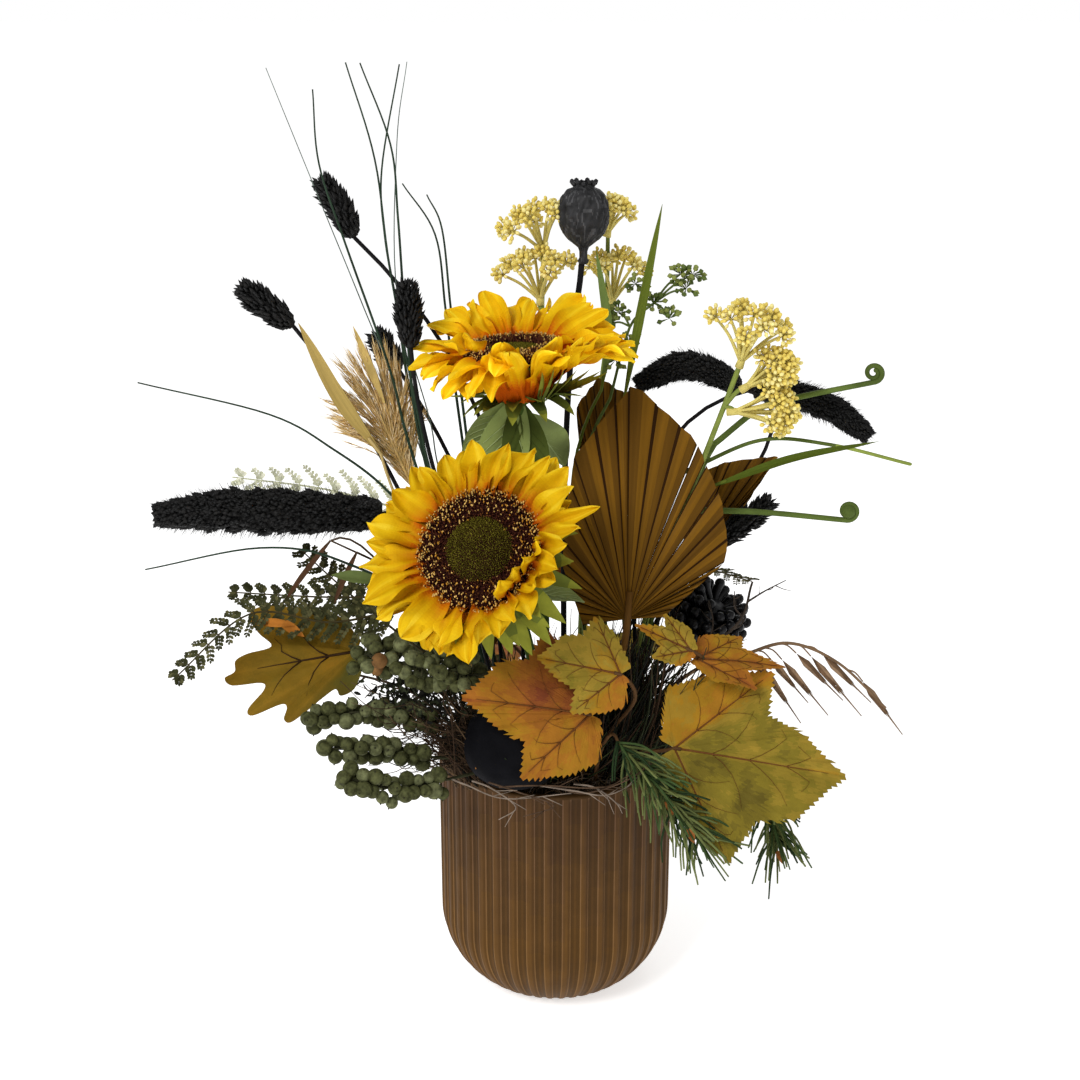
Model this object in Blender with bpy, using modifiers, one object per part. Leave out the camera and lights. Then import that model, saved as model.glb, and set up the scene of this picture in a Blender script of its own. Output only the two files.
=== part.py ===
"""A potted autumn arrangement: artificial sunflowers among dried palm, grasses, pods, ferns, leaves and pine.

Run it with blender --background --python part.py, or from Blender's text editor.
Lengths are metres and places are written in millimetres through at(). +Z is up, -Y is the front, and the
origin is the middle of the pot's flat underside. Every stem is planted in the foam filling of the pot.
"""
import itertools
import math
import random

import bmesh
import bpy
from mathutils import Matrix, Vector
from mathutils.bvhtree import BVHTree

for leftover in list(bpy.data.objects):
    bpy.data.objects.remove(leftover)

MM = 0.001
UP = Vector((0, 0, 1))
FRONT = Vector((0, -1, 0))
GAP = 0.35 * MM                 # clearance that each part keeps to its neighbours
WELD = 1e-6                     # vertices closer than this are one vertex
SKEW = Vector((0.31, 0.17, 0.93)).normalized()
GOLDEN_TURN = math.radians(137.508)

# Pot: a near-upright wall that rounds into a flat foot.
POT_RADIUS = 75 * MM
POT_HEIGHT = 160 * MM
POT_FOOT_RADIUS = 45 * MM
POT_BEND_RADIUS = 58 * MM
POT_WALL = 5 * MM
POT_FLOOR = 8 * MM
POT_LIP = 1.5 * MM
POT_SIDES = 32
BEND_STEPS = 4

# Filling: foam that fills the pot, with a slightly sunk edge under its cover of moss.
FILLING_TOP = POT_HEIGHT - 2 * MM
FILLING_EDGE_DROP = 7 * MM
FILLING_FLAT_RADIUS = 63 * MM
FILLING_SIDES = 20

# Stems stand on the flat of the filling.
FOOT_LIMIT = 60 * MM
FOOT_STEP = 3.5 * MM
FOOT_RINGS = 14
RISES = (0.4, 0.3, 0.5, 0.2, 0.6)   # how far a stem holds its end directions, in shares of its reach
LEAN = 0.45                         # how far a stem may turn from its wanted last direction, as a slope
STEM_SPANS = 4

# Sunflower heads.
DISC_RADIUS = 36 * MM
DISC_SIDES = 14
PETAL_LENGTH = 38 * MM
PETAL_WIDTH = 17 * MM
PETAL_THICKNESS = 0.6 * MM
PETALS_PER_RING = 12
BRACT_LENGTH = 34 * MM
BRACTS = 7

GOURD_STEPS = 6                     # points down the gourd's side
PLEAT_START = 0.18                  # where a palm spear's pleats begin, as a share of the way to its edge
PLEAT_DEPTH = 1.8 * MM              # how far each pleat's crest stands from the leaf's own surface
PALM_BELLY = 6 * MM
PALM_THICKNESS = 1.3 * MM
BLADE_THICKNESS = 1.2 * MM
LOBED_THICKNESS = 1.1 * MM
BLADE_RADIUS = 0.9 * MM             # of a wiry blade
COURSE_SHIFTS = [shift * MM for shift in (0, 5, -5, 10, -10, 15, -15, 20, -20, 26, -26)]


def at(x, y, z):
    """A place given in millimetres, as a vector in metres."""
    return Vector((x, y, z)) * MM


def places(points):
    return [at(*point) for point in points]


# ---------------------------------------------------------------- placing


def move(bm, matrix):
    """Move a piece, and return it."""
    bmesh.ops.transform(bm, matrix=matrix, verts=bm.verts)
    return bm


def lay(origin, along, face):
    """The matrix that puts +X exactly along a direction, and +Z as near as it can to face."""
    x = along.normalized()
    y = face.cross(x)
    y = y.normalized() if y.length > WELD else x.orthogonal().normalized()
    z = x.cross(y)
    return Matrix.Translation(origin) @ Matrix((x, y, z)).transposed().to_4x4()


def stand(origin, axis, side):
    """The matrix that puts +Z exactly along an axis, and +X as near as it can to side."""
    z = axis.normalized()
    y = z.cross(side)
    y = y.normalized() if y.length > WELD else z.orthogonal().normalized()
    x = y.cross(z)
    return Matrix.Translation(origin) @ Matrix((x, y, z)).transposed().to_4x4()


def around(axis, angle):
    """A unit vector square to an axis, at an angle round it."""
    first = axis.cross(UP)
    first = first.normalized() if first.length > 0.05 else axis.orthogonal().normalized()
    second = axis.normalized().cross(first)
    return first * math.cos(angle) + second * math.sin(angle)


# ---------------------------------------------------------------- paths


def smooth(points, spans):
    """A smooth path through the given points, with so many spans between each two."""
    ends = [2 * points[0] - points[1], *points, 2 * points[-1] - points[-2]]
    path = []
    for before, start, end, after in zip(ends, ends[1:], ends[2:], ends[3:]):
        for step in range(spans):
            t = step / spans
            path.append(0.5 * (2 * start + (end - before) * t
                               + (2 * before - 5 * start + 4 * end - after) * t ** 2
                               + (3 * start - before - 3 * end + after) * t ** 3))
    return path + [points[-1]]


def bend(foot, head, arrive, rise):
    """A stem's path: it leaves its foot upright and reaches its head in the direction arrive."""
    hold = rise * (head - foot).length
    first = foot + hold * UP
    last = head - hold * arrive.normalized()
    path = []
    for step in range(STEM_SPANS + 1):
        t = step / STEM_SPANS
        path.append((1 - t) ** 3 * foot + 3 * (1 - t) ** 2 * t * first
                    + 3 * (1 - t) * t ** 2 * last + t ** 3 * head)
    return path


def station(path, share):
    """The place and the direction at a share of a path's length."""
    lengths = [(b - a).length for a, b in zip(path, path[1:])]
    left = share * sum(lengths)
    for start, end, length in zip(path, path[1:], lengths):
        if left <= length:
            return start.lerp(end, left / length), (end - start).normalized()
        left -= length
    return path[-1].copy(), (path[-1] - path[-2]).normalized()


# ---------------------------------------------------------------- pieces


def leaf(length, width, thickness, shape, rows=3, columns=2, droop=0.0, fold=0.0):
    """A thin leaf along +X with its root at the origin and its face up.

    shape gives its half width along it, as a share; droop lowers its tip and fold raises its edges.
    """
    bm = bmesh.new()
    bmesh.ops.create_grid(bm, x_segments=rows, y_segments=columns, size=0.5)
    for vertex in bm.verts:
        u = vertex.co.x + 0.5
        half = 0.5 * width * shape(u)
        v = 2 * vertex.co.y
        vertex.co = Vector((u * length, v * half, fold * half * abs(v) - droop * length * u * u))
    bmesh.ops.remove_doubles(bm, verts=bm.verts, dist=WELD)
    bmesh.ops.solidify(bm, geom=bm.faces[:], thickness=thickness)
    return bm


def pointed(u):
    """Half width of a petal or a bract: broad near the middle, with a point."""
    return math.sin(math.pi * (0.17 + 0.83 * u)) ** 0.8 if u < 1 else 0.0


def strap(u):
    """Half width of a grass blade: nearly even, with a long point."""
    return min(1.0, 0.6 + u) * (1 - u ** 4)


def oval(u):
    """Half width of a broad plain leaf."""
    return math.sin(math.pi * (0.1 + 0.9 * u)) if u < 1 else 0.0


def leaflet(root, tip, width, thickness, face):
    """A small leaf of eight faces from its root to its tip."""
    bm = bmesh.new()
    bmesh.ops.create_uvsphere(bm, u_segments=4, v_segments=2, radius=0.5)
    size = Matrix.Diagonal(((tip - root).length, width, thickness, 1))
    return move(bm, lay((root + tip) / 2, tip - root, face) @ size)


def spike(root, tip, radius, end_radius=0.0):
    """A straight tapering twig, needle or scale."""
    bm = bmesh.new()
    axis = tip - root
    bmesh.ops.create_cone(bm, cap_ends=True, segments=3, radius1=radius, radius2=end_radius,
                          depth=axis.length)
    return move(bm, stand((root + tip) / 2, axis, FRONT))


def ball(centre, radius):
    """A berry or a bud."""
    bm = bmesh.new()
    bmesh.ops.create_icosphere(bm, subdivisions=1, radius=radius)
    return move(bm, Matrix.Translation(centre))


def evaluated(holder):
    """The finished mesh of an object with its modifiers or its bevel, as a closed piece; the object goes."""
    bpy.context.scene.collection.objects.link(holder)
    bpy.context.view_layer.update()
    depsgraph = bpy.context.evaluated_depsgraph_get()
    mesh = bpy.data.meshes.new_from_object(holder.evaluated_get(depsgraph))
    bm = bmesh.new()
    bm.from_mesh(mesh)
    bmesh.ops.remove_doubles(bm, verts=bm.verts, dist=WELD)
    bmesh.ops.dissolve_degenerate(bm, dist=WELD, edges=bm.edges)
    bpy.data.meshes.remove(mesh)
    bpy.data.objects.remove(holder)
    return bm


def tube(path, radii, roundness=0):
    """A stem along a path: a curve with a bevel of 4 sides, or 6 for roundness 1, and filled caps."""
    curve = bpy.data.curves.new("stem", "CURVE")
    curve.dimensions = "3D"
    curve.bevel_depth = 1.0
    curve.bevel_resolution = roundness
    curve.use_fill_caps = True
    spline = curve.splines.new("POLY")
    spline.points.add(len(path) - 1)
    for point, place, radius in zip(spline.points, path, radii):
        point.co = (*place, 1)
        point.radius = radius
    return evaluated(bpy.data.objects.new("stem", curve))


def stem(path, radius, end_share=0.6, roundness=0):
    """A stem that thins evenly to end_share of its radius."""
    last = len(path) - 1
    radii = [radius * (1 - (1 - end_share) * index / last) for index in range(last + 1)]
    return tube(path, radii, roundness)


def turned(profile, sides):
    """A turned shape from an open profile of (radius, height), which runs down its outer side."""
    mesh = bpy.data.meshes.new("profile")
    edges = [(index, index + 1) for index in range(len(profile) - 1)]
    mesh.from_pydata([(radius, 0, height) for radius, height in profile], edges, [])
    holder = bpy.data.objects.new("profile", mesh)
    screw = holder.modifiers.new("turn", "SCREW")
    screw.steps = sides
    screw.render_steps = sides
    screw.use_merge_vertices = True
    screw.merge_threshold = WELD
    return evaluated(holder)


# ---------------------------------------------------------------- clearance


finished = []       # (lowest corner, highest corner, search tree) of each finished part


def corners(points):
    low = Vector(min(point[axis] for point in points) for axis in range(3))
    high = Vector(max(point[axis] for point in points) for axis in range(3))
    return low, high


def apart(low, high, other_low, other_high):
    return any(low[axis] > other_high[axis] or high[axis] < other_low[axis] for axis in range(3))


def buried(point, tree):
    """Whether a point lies inside a closed part: a ray from it leaves through an odd number of faces."""
    crossings = 0
    hit = tree.ray_cast(point, SKEW)[0]
    while hit is not None:
        crossings += 1
        hit = tree.ray_cast(hit + SKEW * WELD, SKEW)[0]
    return crossings % 2 == 1


def blocked(bm):
    """Whether a piece comes nearer than the gap to a finished part, or lies inside one."""
    bm.normal_update()
    bm.verts.index_update()
    grown = [vertex.co + vertex.normal * GAP for vertex in bm.verts]
    tree = BVHTree.FromPolygons(grown, [[vertex.index for vertex in face.verts] for face in bm.faces])
    low, high = corners(grown)
    for part_low, part_high, part in finished:
        if not apart(low, high, part_low, part_high):
            if tree.overlap(part) or buried(grown[0], part):
                return True
    return False


def is_clear(path, radius):
    """Whether a stem of some radius along a path keeps clear of every finished part."""
    reach = radius + GAP
    low, high = corners(path)
    margin = Vector((reach, reach, reach))
    near = [part for part_low, part_high, part in finished
            if not apart(low - margin, high + margin, part_low, part_high)]
    for start, end in zip(path, path[1:]):
        checks = max(1, math.ceil((end - start).length / (1.5 * MM)))
        for check in range(checks + 1):
            spot = start.lerp(end, check / checks)
            if any(part.find_nearest(spot, reach)[0] is not None for part in near):
                return False
    return True


def seated(path, radius):
    """A stem's path with its first point raised, so that its slanting foot just clears the filling."""
    slant = (path[1] - path[0]).normalized()
    return [path[0] + radius * math.sqrt(1 - slant.z ** 2) * UP, *path[1:]]


def planted(head, arrive, radius, foot=None):
    """The path of a stem from the first free place near its wanted foot up to its head."""
    wanted = Vector(foot) * MM if foot else head.xy * min(0.45, 45 * MM / head.xy.length)
    start_height = FILLING_TOP + GAP
    girth = 1.25 * radius
    leans = [Vector(), *(LEAN * around(arrive, quarter * math.pi / 2) for quarter in range(4))]
    headings = [arrive.normalized() + lean for lean in leans]
    for ring in range(FOOT_RINGS):
        turns = max(1, 6 * ring)
        for turn in range(turns):
            angle = math.tau * turn / turns
            spot = wanted + ring * FOOT_STEP * Vector((math.cos(angle), math.sin(angle)))
            if spot.length > FOOT_LIMIT:
                continue
            for rise, heading in itertools.product(RISES, headings):
                path = bend(Vector((*spot, start_height)), head, heading, rise)
                lifted = [path[0] + (girth + 2 * GAP) * UP, *path[1:]]
                if is_clear(lifted, girth):
                    return seated(path, radius)
    raise ValueError(f"no free place for a stem that ends at {head}")


# ---------------------------------------------------------------- joining


model = bpy.data.collections.new("autumn_arrangement")
bpy.context.scene.collection.children.link(model)
root = bpy.data.objects.new("arrangement", None)
model.objects.link(root)


def material(name, colour, roughness):
    """The part's own Principled material."""
    finish = bpy.data.materials.new(name)
    finish.use_nodes = True
    shader = finish.node_tree.nodes["Principled BSDF"]
    shader.inputs["Base Color"].default_value = (*colour, 1)
    shader.inputs["Roughness"].default_value = roughness
    return finish


def add_part(name, mesh, colour, roughness):
    """Finish a part: name it, give it its material and its place, and note it for later clearances."""
    mesh.name = name
    mesh.materials.clear()
    mesh.materials.append(material(name, colour, roughness))
    mesh.shade_smooth()
    mesh.set_sharp_from_angle(angle=math.radians(30))
    points = [vertex.co.copy() for vertex in mesh.vertices]
    finished.append((*corners(points), BVHTree.FromPolygons(points, [p.vertices for p in mesh.polygons])))
    foot = min(points, key=lambda point: point.z)
    mesh.transform(Matrix.Translation(-foot))
    part = bpy.data.objects.new(name, mesh)
    part.location = foot
    part.parent = root
    model.objects.link(part)


def mesh_of(bm):
    mesh = bpy.data.meshes.new("piece")
    bmesh.ops.recalc_face_normals(bm, faces=bm.faces)
    bm.to_mesh(mesh)
    bm.free()
    return mesh


def fuse(name, core, groups, colour, roughness=0.8, solver="EXACT"):
    """Make a part of its core pieces and of each group of leaves, berries or needles that has room."""
    kept = [piece for group in groups if not any(blocked(piece) for piece in group) for piece in group]
    body = bpy.data.objects.new(name, mesh_of(core[0]))
    bpy.context.scene.collection.objects.link(body)
    loose = bpy.data.collections.new("loose")
    bpy.context.scene.collection.children.link(loose)
    for piece in [*core[1:], *kept]:
        loose.objects.link(bpy.data.objects.new("piece", mesh_of(piece)))
    union = body.modifiers.new("union", "BOOLEAN")
    union.operation = "UNION"
    union.operand_type = "COLLECTION"
    union.collection = loose
    union.solver = solver
    bpy.context.view_layer.update()
    depsgraph = bpy.context.evaluated_depsgraph_get()
    mesh = bpy.data.meshes.new_from_object(body.evaluated_get(depsgraph))
    for piece in [*loose.objects, body]:
        bpy.data.objects.remove(piece)
    bpy.data.collections.remove(loose)
    add_part(name, mesh, colour, roughness)


# ---------------------------------------------------------------- pot and filling


def rounded_side(inset, floor):
    """Radius and height down a wall that rounds into its floor, so far inside the pot's outer surface."""
    centre_radius = POT_RADIUS - POT_BEND_RADIUS
    centre_height = math.sqrt(POT_BEND_RADIUS ** 2 - (POT_FOOT_RADIUS - centre_radius) ** 2)
    bend_radius = POT_BEND_RADIUS - inset
    last = math.asin((centre_height - floor) / bend_radius)
    angles = [last * step / BEND_STEPS for step in range(BEND_STEPS + 1)]
    return [(centre_radius + bend_radius * math.cos(angle), centre_height - bend_radius * math.sin(angle))
            for angle in angles]


def pot():
    inner = rounded_side(POT_WALL, POT_FLOOR)
    profile = [(0, POT_FLOOR), *reversed(inner), (POT_RADIUS - POT_WALL, POT_HEIGHT - POT_LIP),
               (POT_RADIUS - POT_WALL + POT_LIP, POT_HEIGHT), (POT_RADIUS - POT_LIP, POT_HEIGHT),
               (POT_RADIUS, POT_HEIGHT - POT_LIP), *rounded_side(0, 0), (0, 0)]
    add_part("pot", mesh_of(turned(profile, POT_SIDES)), (0.20, 0.11, 0.05), 0.45)


def filling():
    inset = POT_WALL + 2 * GAP
    side = rounded_side(inset, POT_FLOOR + GAP)
    profile = [(0, FILLING_TOP), (FILLING_FLAT_RADIUS, FILLING_TOP),
               (POT_RADIUS - inset, FILLING_TOP - FILLING_EDGE_DROP), *side, (0, POT_FLOOR + GAP)]
    add_part("filling", mesh_of(turned(profile, FILLING_SIDES)), (0.06, 0.04, 0.03), 0.95)


# ---------------------------------------------------------------- flowers, pods and buds


def ring_of_petals(seat, count, length, width, lift, first_turn, chance, columns):
    """A ring of petals round a head whose face is the seat's +Z."""
    petals = []
    for index in range(count):
        turn = first_turn + math.tau * index / count + chance.uniform(-0.06, 0.06)
        size = chance.uniform(0.88, 1.08)
        petal = leaf(length * size, width * size, PETAL_THICKNESS, pointed, rows=2, columns=columns,
                     droop=chance.uniform(-0.1, 0.2), fold=0.25)
        place = (seat @ Matrix.Rotation(turn, 4, "Z") @ Matrix.Translation((0.78 * DISC_RADIUS, 0, 0))
                 @ Matrix.Rotation(-(lift + chance.uniform(-0.12, 0.12)), 4, "Y"))
        petals.append([move(petal, place)])
    return petals


def sunflower(name, centre, facing, foot, leaves):
    """A sunflower head on its stem: a domed disc, two rings of petals, bracts and broad stem leaves."""
    chance = random.Random(name)
    seat = stand(centre, facing, Vector((1, 0, 0)))
    disc = turned([(0, 7 * MM), (0.8 * DISC_RADIUS, 6 * MM), (DISC_RADIUS, 0), (0.8 * DISC_RADIUS, -8 * MM),
                   (5 * MM, -18 * MM), (0, -18 * MM)], DISC_SIDES)
    back = seat @ Vector((0, 0, -12 * MM))
    path = planted(back, facing, 3.2 * MM, foot)
    petals = ring_of_petals(seat, PETALS_PER_RING, 0.9 * PETAL_LENGTH, PETAL_WIDTH, 0.5, 0.0, chance, 2)
    petals += ring_of_petals(seat @ Matrix.Translation((0, 0, -3 * MM)), PETALS_PER_RING,
                             1.08 * PETAL_LENGTH, PETAL_WIDTH, 0.12, math.pi / PETALS_PER_RING, chance, 1)
    for index in range(BRACTS):
        bract = leaf(BRACT_LENGTH, 13 * MM, PETAL_THICKNESS, pointed, rows=2, columns=1, droop=0.25)
        turn = Matrix.Rotation(math.tau * (index + 0.3) / BRACTS, 4, "Z")
        petals.append([move(bract, seat @ turn @ Matrix.Translation((0.6 * DISC_RADIUS, 0, -9 * MM)))])
    for share, direction, length in leaves:
        root_place = station(path, share)[0]
        blade = leaf(length * MM, 0.62 * length * MM, 1 * MM, oval, rows=3, columns=2, droop=0.25, fold=0.2)
        petals.append([move(blade, lay(root_place, Vector(direction), UP))])
    core = [move(disc, seat), stem(path, 3.2 * MM, end_share=1.0, roundness=1)]
    fuse(name, core, petals, (0.92, 0.55, 0.03), 0.7)


def poppy_pod(name, centre, foot):
    """A dried poppy head: a round pod with a flared crown above and a narrow neck, on a stiff stem."""
    neck = centre - at(0, 0, 20)
    path = planted(neck - at(2, 0, 22), Vector((0.15, 0, 1)), 1.6 * MM, foot) + [neck + at(0, 0, 4)]
    profile = places([(0, 0, 17), (8, 0, 20), (9, 0, 18), (6, 0, 15), (12, 0, 9), (14.5, 0, -1), (11, 0, -12),
                      (4.5, 0, -18), (3.6, 0, -22), (0, 0, -22)])
    pod = turned([(spot.x, spot.z) for spot in profile], 10)
    core = [stem(path, 1.7 * MM, end_share=1.0, roundness=1), move(pod, Matrix.Translation(centre))]
    fuse(name, core, [], (0.02, 0.02, 0.02), 0.75)


def umbel(name, heads, foot, branches=4):
    """Branching flower heads on one stem: branches fan from each hub and end in tufts of buds, here knobs."""
    first_hub, first_axis = at(*heads[0][0]), Vector(heads[0][1])
    path = planted(first_hub, first_axis, 1.5 * MM, foot)
    groups = []
    for place, direction, spread, height in heads:
        hub, axis = at(*place), Vector(direction)
        if hub != first_hub:
            groups.append([spike(station(path, 0.9)[0], hub, 1.3 * MM, 1.2 * MM)])
        rise = axis.normalized() * height * MM
        for branch in range(branches):
            lean = math.sqrt((branch + 0.4) / branches)
            outward = around(axis, branch * GOLDEN_TURN) * lean * spread * MM
            end = hub + rise * (1 - 0.35 * lean * lean) + outward
            groups.append([spike(hub - 0.04 * rise, end, 1.2 * MM, 0.9 * MM), ball(end, 6 * MM)])
    fuse(name, [stem(path, 1.5 * MM, end_share=1.0)], groups, (0.72, 0.55, 0.17), 0.6)


def bud_spray(name, spine, clusters, foot):
    """A green sprig whose side shoots end in tufts of small long buds."""
    chance = random.Random(name)
    line = places(spine)
    path = planted(line[0], line[1] - line[0], 1.2 * MM, foot) + line[1:]
    groups = []
    for cluster in clusters:
        centre = at(*cluster)
        joins = [station(path, share / 20)[0] for share in range(8, 21)]
        join = min(joins, key=lambda place: (place - centre).length)
        group = [spike(join, centre, 0.8 * MM, 0.7 * MM)] if (centre - join).length > 3 * MM else []
        group.append(ball(centre, 4 * MM))
        for bud in range(2):
            outward = around(UP, bud * GOLDEN_TURN) * 0.8 + UP * chance.uniform(-0.2, 1.0)
            group.append(spike(centre, centre + outward.normalized() * 10 * MM, 2 * MM, 0.9 * MM))
        groups.append(group)
    fuse(name, [stem(path, 1.2 * MM)], groups, (0.12, 0.22, 0.05), 0.7)


# ---------------------------------------------------------------- palm, blades and grasses


def palm_spear(name, base, corner_points, face, pleats=14, foot=None):
    """A dried palm leaf cut to a spear: pleats fan out from the base to the straight cut edges."""
    start = at(*base)
    ends = places(corner_points)
    edge = [station(ends, index / pleats)[0] for index in range(pleats + 1)]
    normal = Vector(face).normalized()
    bm = bmesh.new()
    bmesh.ops.create_grid(bm, x_segments=2, y_segments=pleats, size=0.5)
    for vertex in bm.verts:
        index = round((vertex.co.y + 0.5) * pleats)
        share = PLEAT_START + (1 - PLEAT_START) * (vertex.co.x + 0.5)
        ripple = normal * (PLEAT_DEPTH * share * (-1) ** index)
        belly = normal * (-PALM_BELLY * math.sin(math.pi * index / pleats) * share)
        vertex.co = start + (edge[index] - start) * share + ripple + belly
    bm.normal_update()
    bmesh.ops.solidify(bm, geom=bm.faces[:], thickness=PALM_THICKNESS)
    middle = edge[pleats // 2]
    path = planted(start, middle - start, 2.2 * MM, foot) + [start.lerp(middle, 2 * PLEAT_START)]
    fuse(name, [bm, stem(path, 2.2 * MM, end_share=0.8)], [], (0.30, 0.14, 0.02), 0.6, solver="MANIFOLD")


def long_blade(name, spine, width, colour, foot=None, face=(0, -1, 0.2)):
    """A grass-like blade on a thin stem."""
    line = smooth(places(spine), 2)
    path = planted(line[0], line[1] - line[0], 1.1 * MM, foot)
    bm = bmesh.new()
    rows = len(line) - 1
    bmesh.ops.create_grid(bm, x_segments=rows, y_segments=2, size=0.5)
    for vertex in bm.verts:
        index = round((vertex.co.x + 0.5) * rows)
        side = Vector(face).cross(station(line, index / rows)[1]).normalized()
        half = 0.5 * width * MM * strap(index / rows)
        crease = Vector(face).normalized() * (-0.2 * half * (1 - abs(2 * vertex.co.y)))
        vertex.co = line[index] + side * 2 * vertex.co.y * half + crease
    bmesh.ops.remove_doubles(bm, verts=bm.verts, dist=WELD)
    bm.normal_update()
    bmesh.ops.solidify(bm, geom=bm.faces[:], thickness=BLADE_THICKNESS)
    inner = line[0].lerp(line[1], 0.6)
    fuse(name, [bm, stem([*path, inner], 1.2 * MM, end_share=0.8)], [], colour, 0.6)


def fiddlehead(name, spine, curl_radius, foot=None):
    """A green frond that ends in a tight curl."""
    line = smooth(places(spine), 3)
    path = planted(line[0], line[1] - line[0], 2 * MM, foot)
    heading = (line[-1] - line[-2]).normalized()
    side = (UP - heading * heading.dot(UP)).normalized()
    centre = line[-1] + side * curl_radius * MM
    curl = []
    for step in range(1, 10):
        angle = 1.35 * math.tau * step / 9
        radius = curl_radius * MM * (1 - 0.62 * step / 9)
        curl.append(centre + radius * (heading * math.sin(angle) - side * math.cos(angle)))
    whole = [*path, *line[1:], *curl]
    radii = [2.0 * MM - 1.1 * MM * index / (len(whole) - 1) for index in range(len(whole))]
    fuse(name, [tube(whole, radii)], [], (0.10, 0.16, 0.03), 0.5)


def round_grass(name, spine, foot=None):
    """A long round stalk that arches over."""
    line = smooth(places(spine), 2)
    path = planted(line[0], line[1] - line[0], 1.3 * MM, foot) + line[1:]
    fuse(name, [stem(path, 1.3 * MM, end_share=0.6)], [], (0.12, 0.15, 0.04), 0.6)


def wiry_tuft(name, courses, foot):
    """Thin stiff blades from one foot, each set forward or back until its way is free."""
    ground = Vector((*(Vector(foot) * MM), FILLING_TOP + GAP))
    root_place = ground + at(0, 0, 5)
    clump = [ground, ground + at(0, 0, 10)]
    blades = []
    for course in courses:
        for shift in COURSE_SHIFTS:
            line = [root_place, *(spot + shift * FRONT for spot in places(course))]
            if is_clear(line, BLADE_RADIUS):
                blades.append(stem(line, BLADE_RADIUS, end_share=0.35))
                break
    fuse(name, [tube(clump, [3 * MM, 2 * MM], 1), *blades], [], (0.02, 0.04, 0.02), 0.6)


# ---------------------------------------------------------------- spikes of seed and plumes


def spindle(line, radius, roundness=1):
    """A long core that swells to its radius and closes at both ends."""
    last = len(line) - 1
    radii = [radius * (0.25 + 0.75 * math.sin(math.pi * (index + 0.4) / (last + 0.8)))
             for index in range(last + 1)]
    return tube(line, radii, roundness)


def seed_spike(name, spine, radius, rows, per_row, scale_length, colour, foot=None):
    """A dense spike of seed: a spindle with scales that stand out of it and point to its tip."""
    chance = random.Random(name)
    line = smooth(places(spine), 2)
    path = planted(line[0], line[1] - line[0], 1.3 * MM, foot) + [line[1]]
    groups = []
    for row in range(rows):
        share = (row + 0.5) / rows
        place, heading = station(line, share)
        out = 0.72 * radius * MM * (0.45 + 0.55 * math.sin(math.pi * min(1, share + 0.08)))
        for index in range(per_row):
            side = around(heading, math.tau * (index + 0.5 * (row % 2)) / per_row + chance.uniform(-0.2, 0.2))
            root_place = place + side * out * 0.55
            tip = root_place + (heading * 0.88 + side * 0.46) * scale_length * MM * chance.uniform(0.85, 1.1)
            groups.append([spike(root_place, tip, 0.26 * scale_length * MM)])
    core = [spindle(line, 0.82 * radius * MM), stem(path, 1.3 * MM, end_share=0.9)]
    fuse(name, core, groups, colour, 0.85)


def plume(name, spine, hairs, hair_length, foot=None):
    """A feathery plume: long fine hairs sweep up from a thin spine."""
    chance = random.Random(name)
    line = smooth(places(spine), 3)
    path = planted(line[0], line[1] - line[0], 1.6 * MM, foot) + line[1:]
    groups = []
    for index in range(hairs):
        place, heading = station(line, 0.05 + 0.9 * index / hairs)
        side = around(heading, index * GOLDEN_TURN)
        length = hair_length * MM * chance.uniform(0.7, 1.1)
        groups.append([spike(place, place + (heading + side * 0.42) * length, 2 * MM)])
    fuse(name, [stem(path, 1.8 * MM, end_share=0.5)], groups, (0.55, 0.40, 0.20), 0.9)


# ---------------------------------------------------------------- ferns and leaves


def frond(name, spine, pairs, width, colour, foot=None, face=(0, -0.6, 0.8)):
    """A fern frond: a rib with leaflets in pairs that shorten to its tip."""
    line = smooth(places(spine), 2)
    path = planted(line[0], line[1] - line[0], 1.1 * MM, foot) + line[1:]
    groups = []
    for pair in range(pairs):
        share = (pair + 0.6) / pairs
        place, heading = station(line, share)
        side = Vector(face).cross(heading).normalized()
        length = 0.5 * width * MM * (1.05 - share) ** 0.7
        for sign in (1, -1):
            tip = place + side * sign * length + heading * 0.45 * length
            groups.append([leaflet(place - side * sign * 0.4 * MM, tip, 0.42 * length + 2 * MM, 1.2 * MM,
                                   Vector(face))])
    groups.append([leaflet(line[-2], line[-1] + heading * 6 * MM, 5 * MM, 1.2 * MM, Vector(face))])
    fuse(name, [stem(path, 1.2 * MM, end_share=0.5)], groups, colour, 0.8)


def lobed_blade(junction, tip, face, outline, cup):
    """A flat lobed leaf: its outline gives angles from the main lobe and shares of that lobe's length."""
    length = (tip - junction).length
    bm = bmesh.new()
    bmesh.ops.create_circle(bm, cap_ends=True, cap_tris=True, segments=len(outline), radius=1)
    rim = sorted((vertex for vertex in bm.verts if vertex.co.length > 0.5),
                 key=lambda vertex: math.atan2(vertex.co.y, vertex.co.x))
    for vertex, (angle, share) in zip(rim, outline):
        turn = math.radians(angle)
        reach = share * length
        vertex.co = Vector((reach * math.cos(turn), reach * math.sin(turn), -cup * reach * share))
    bmesh.ops.solidify(bm, geom=bm.faces[:], thickness=LOBED_THICKNESS)
    return move(bm, lay(junction, tip - junction, Vector(face)))


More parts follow.
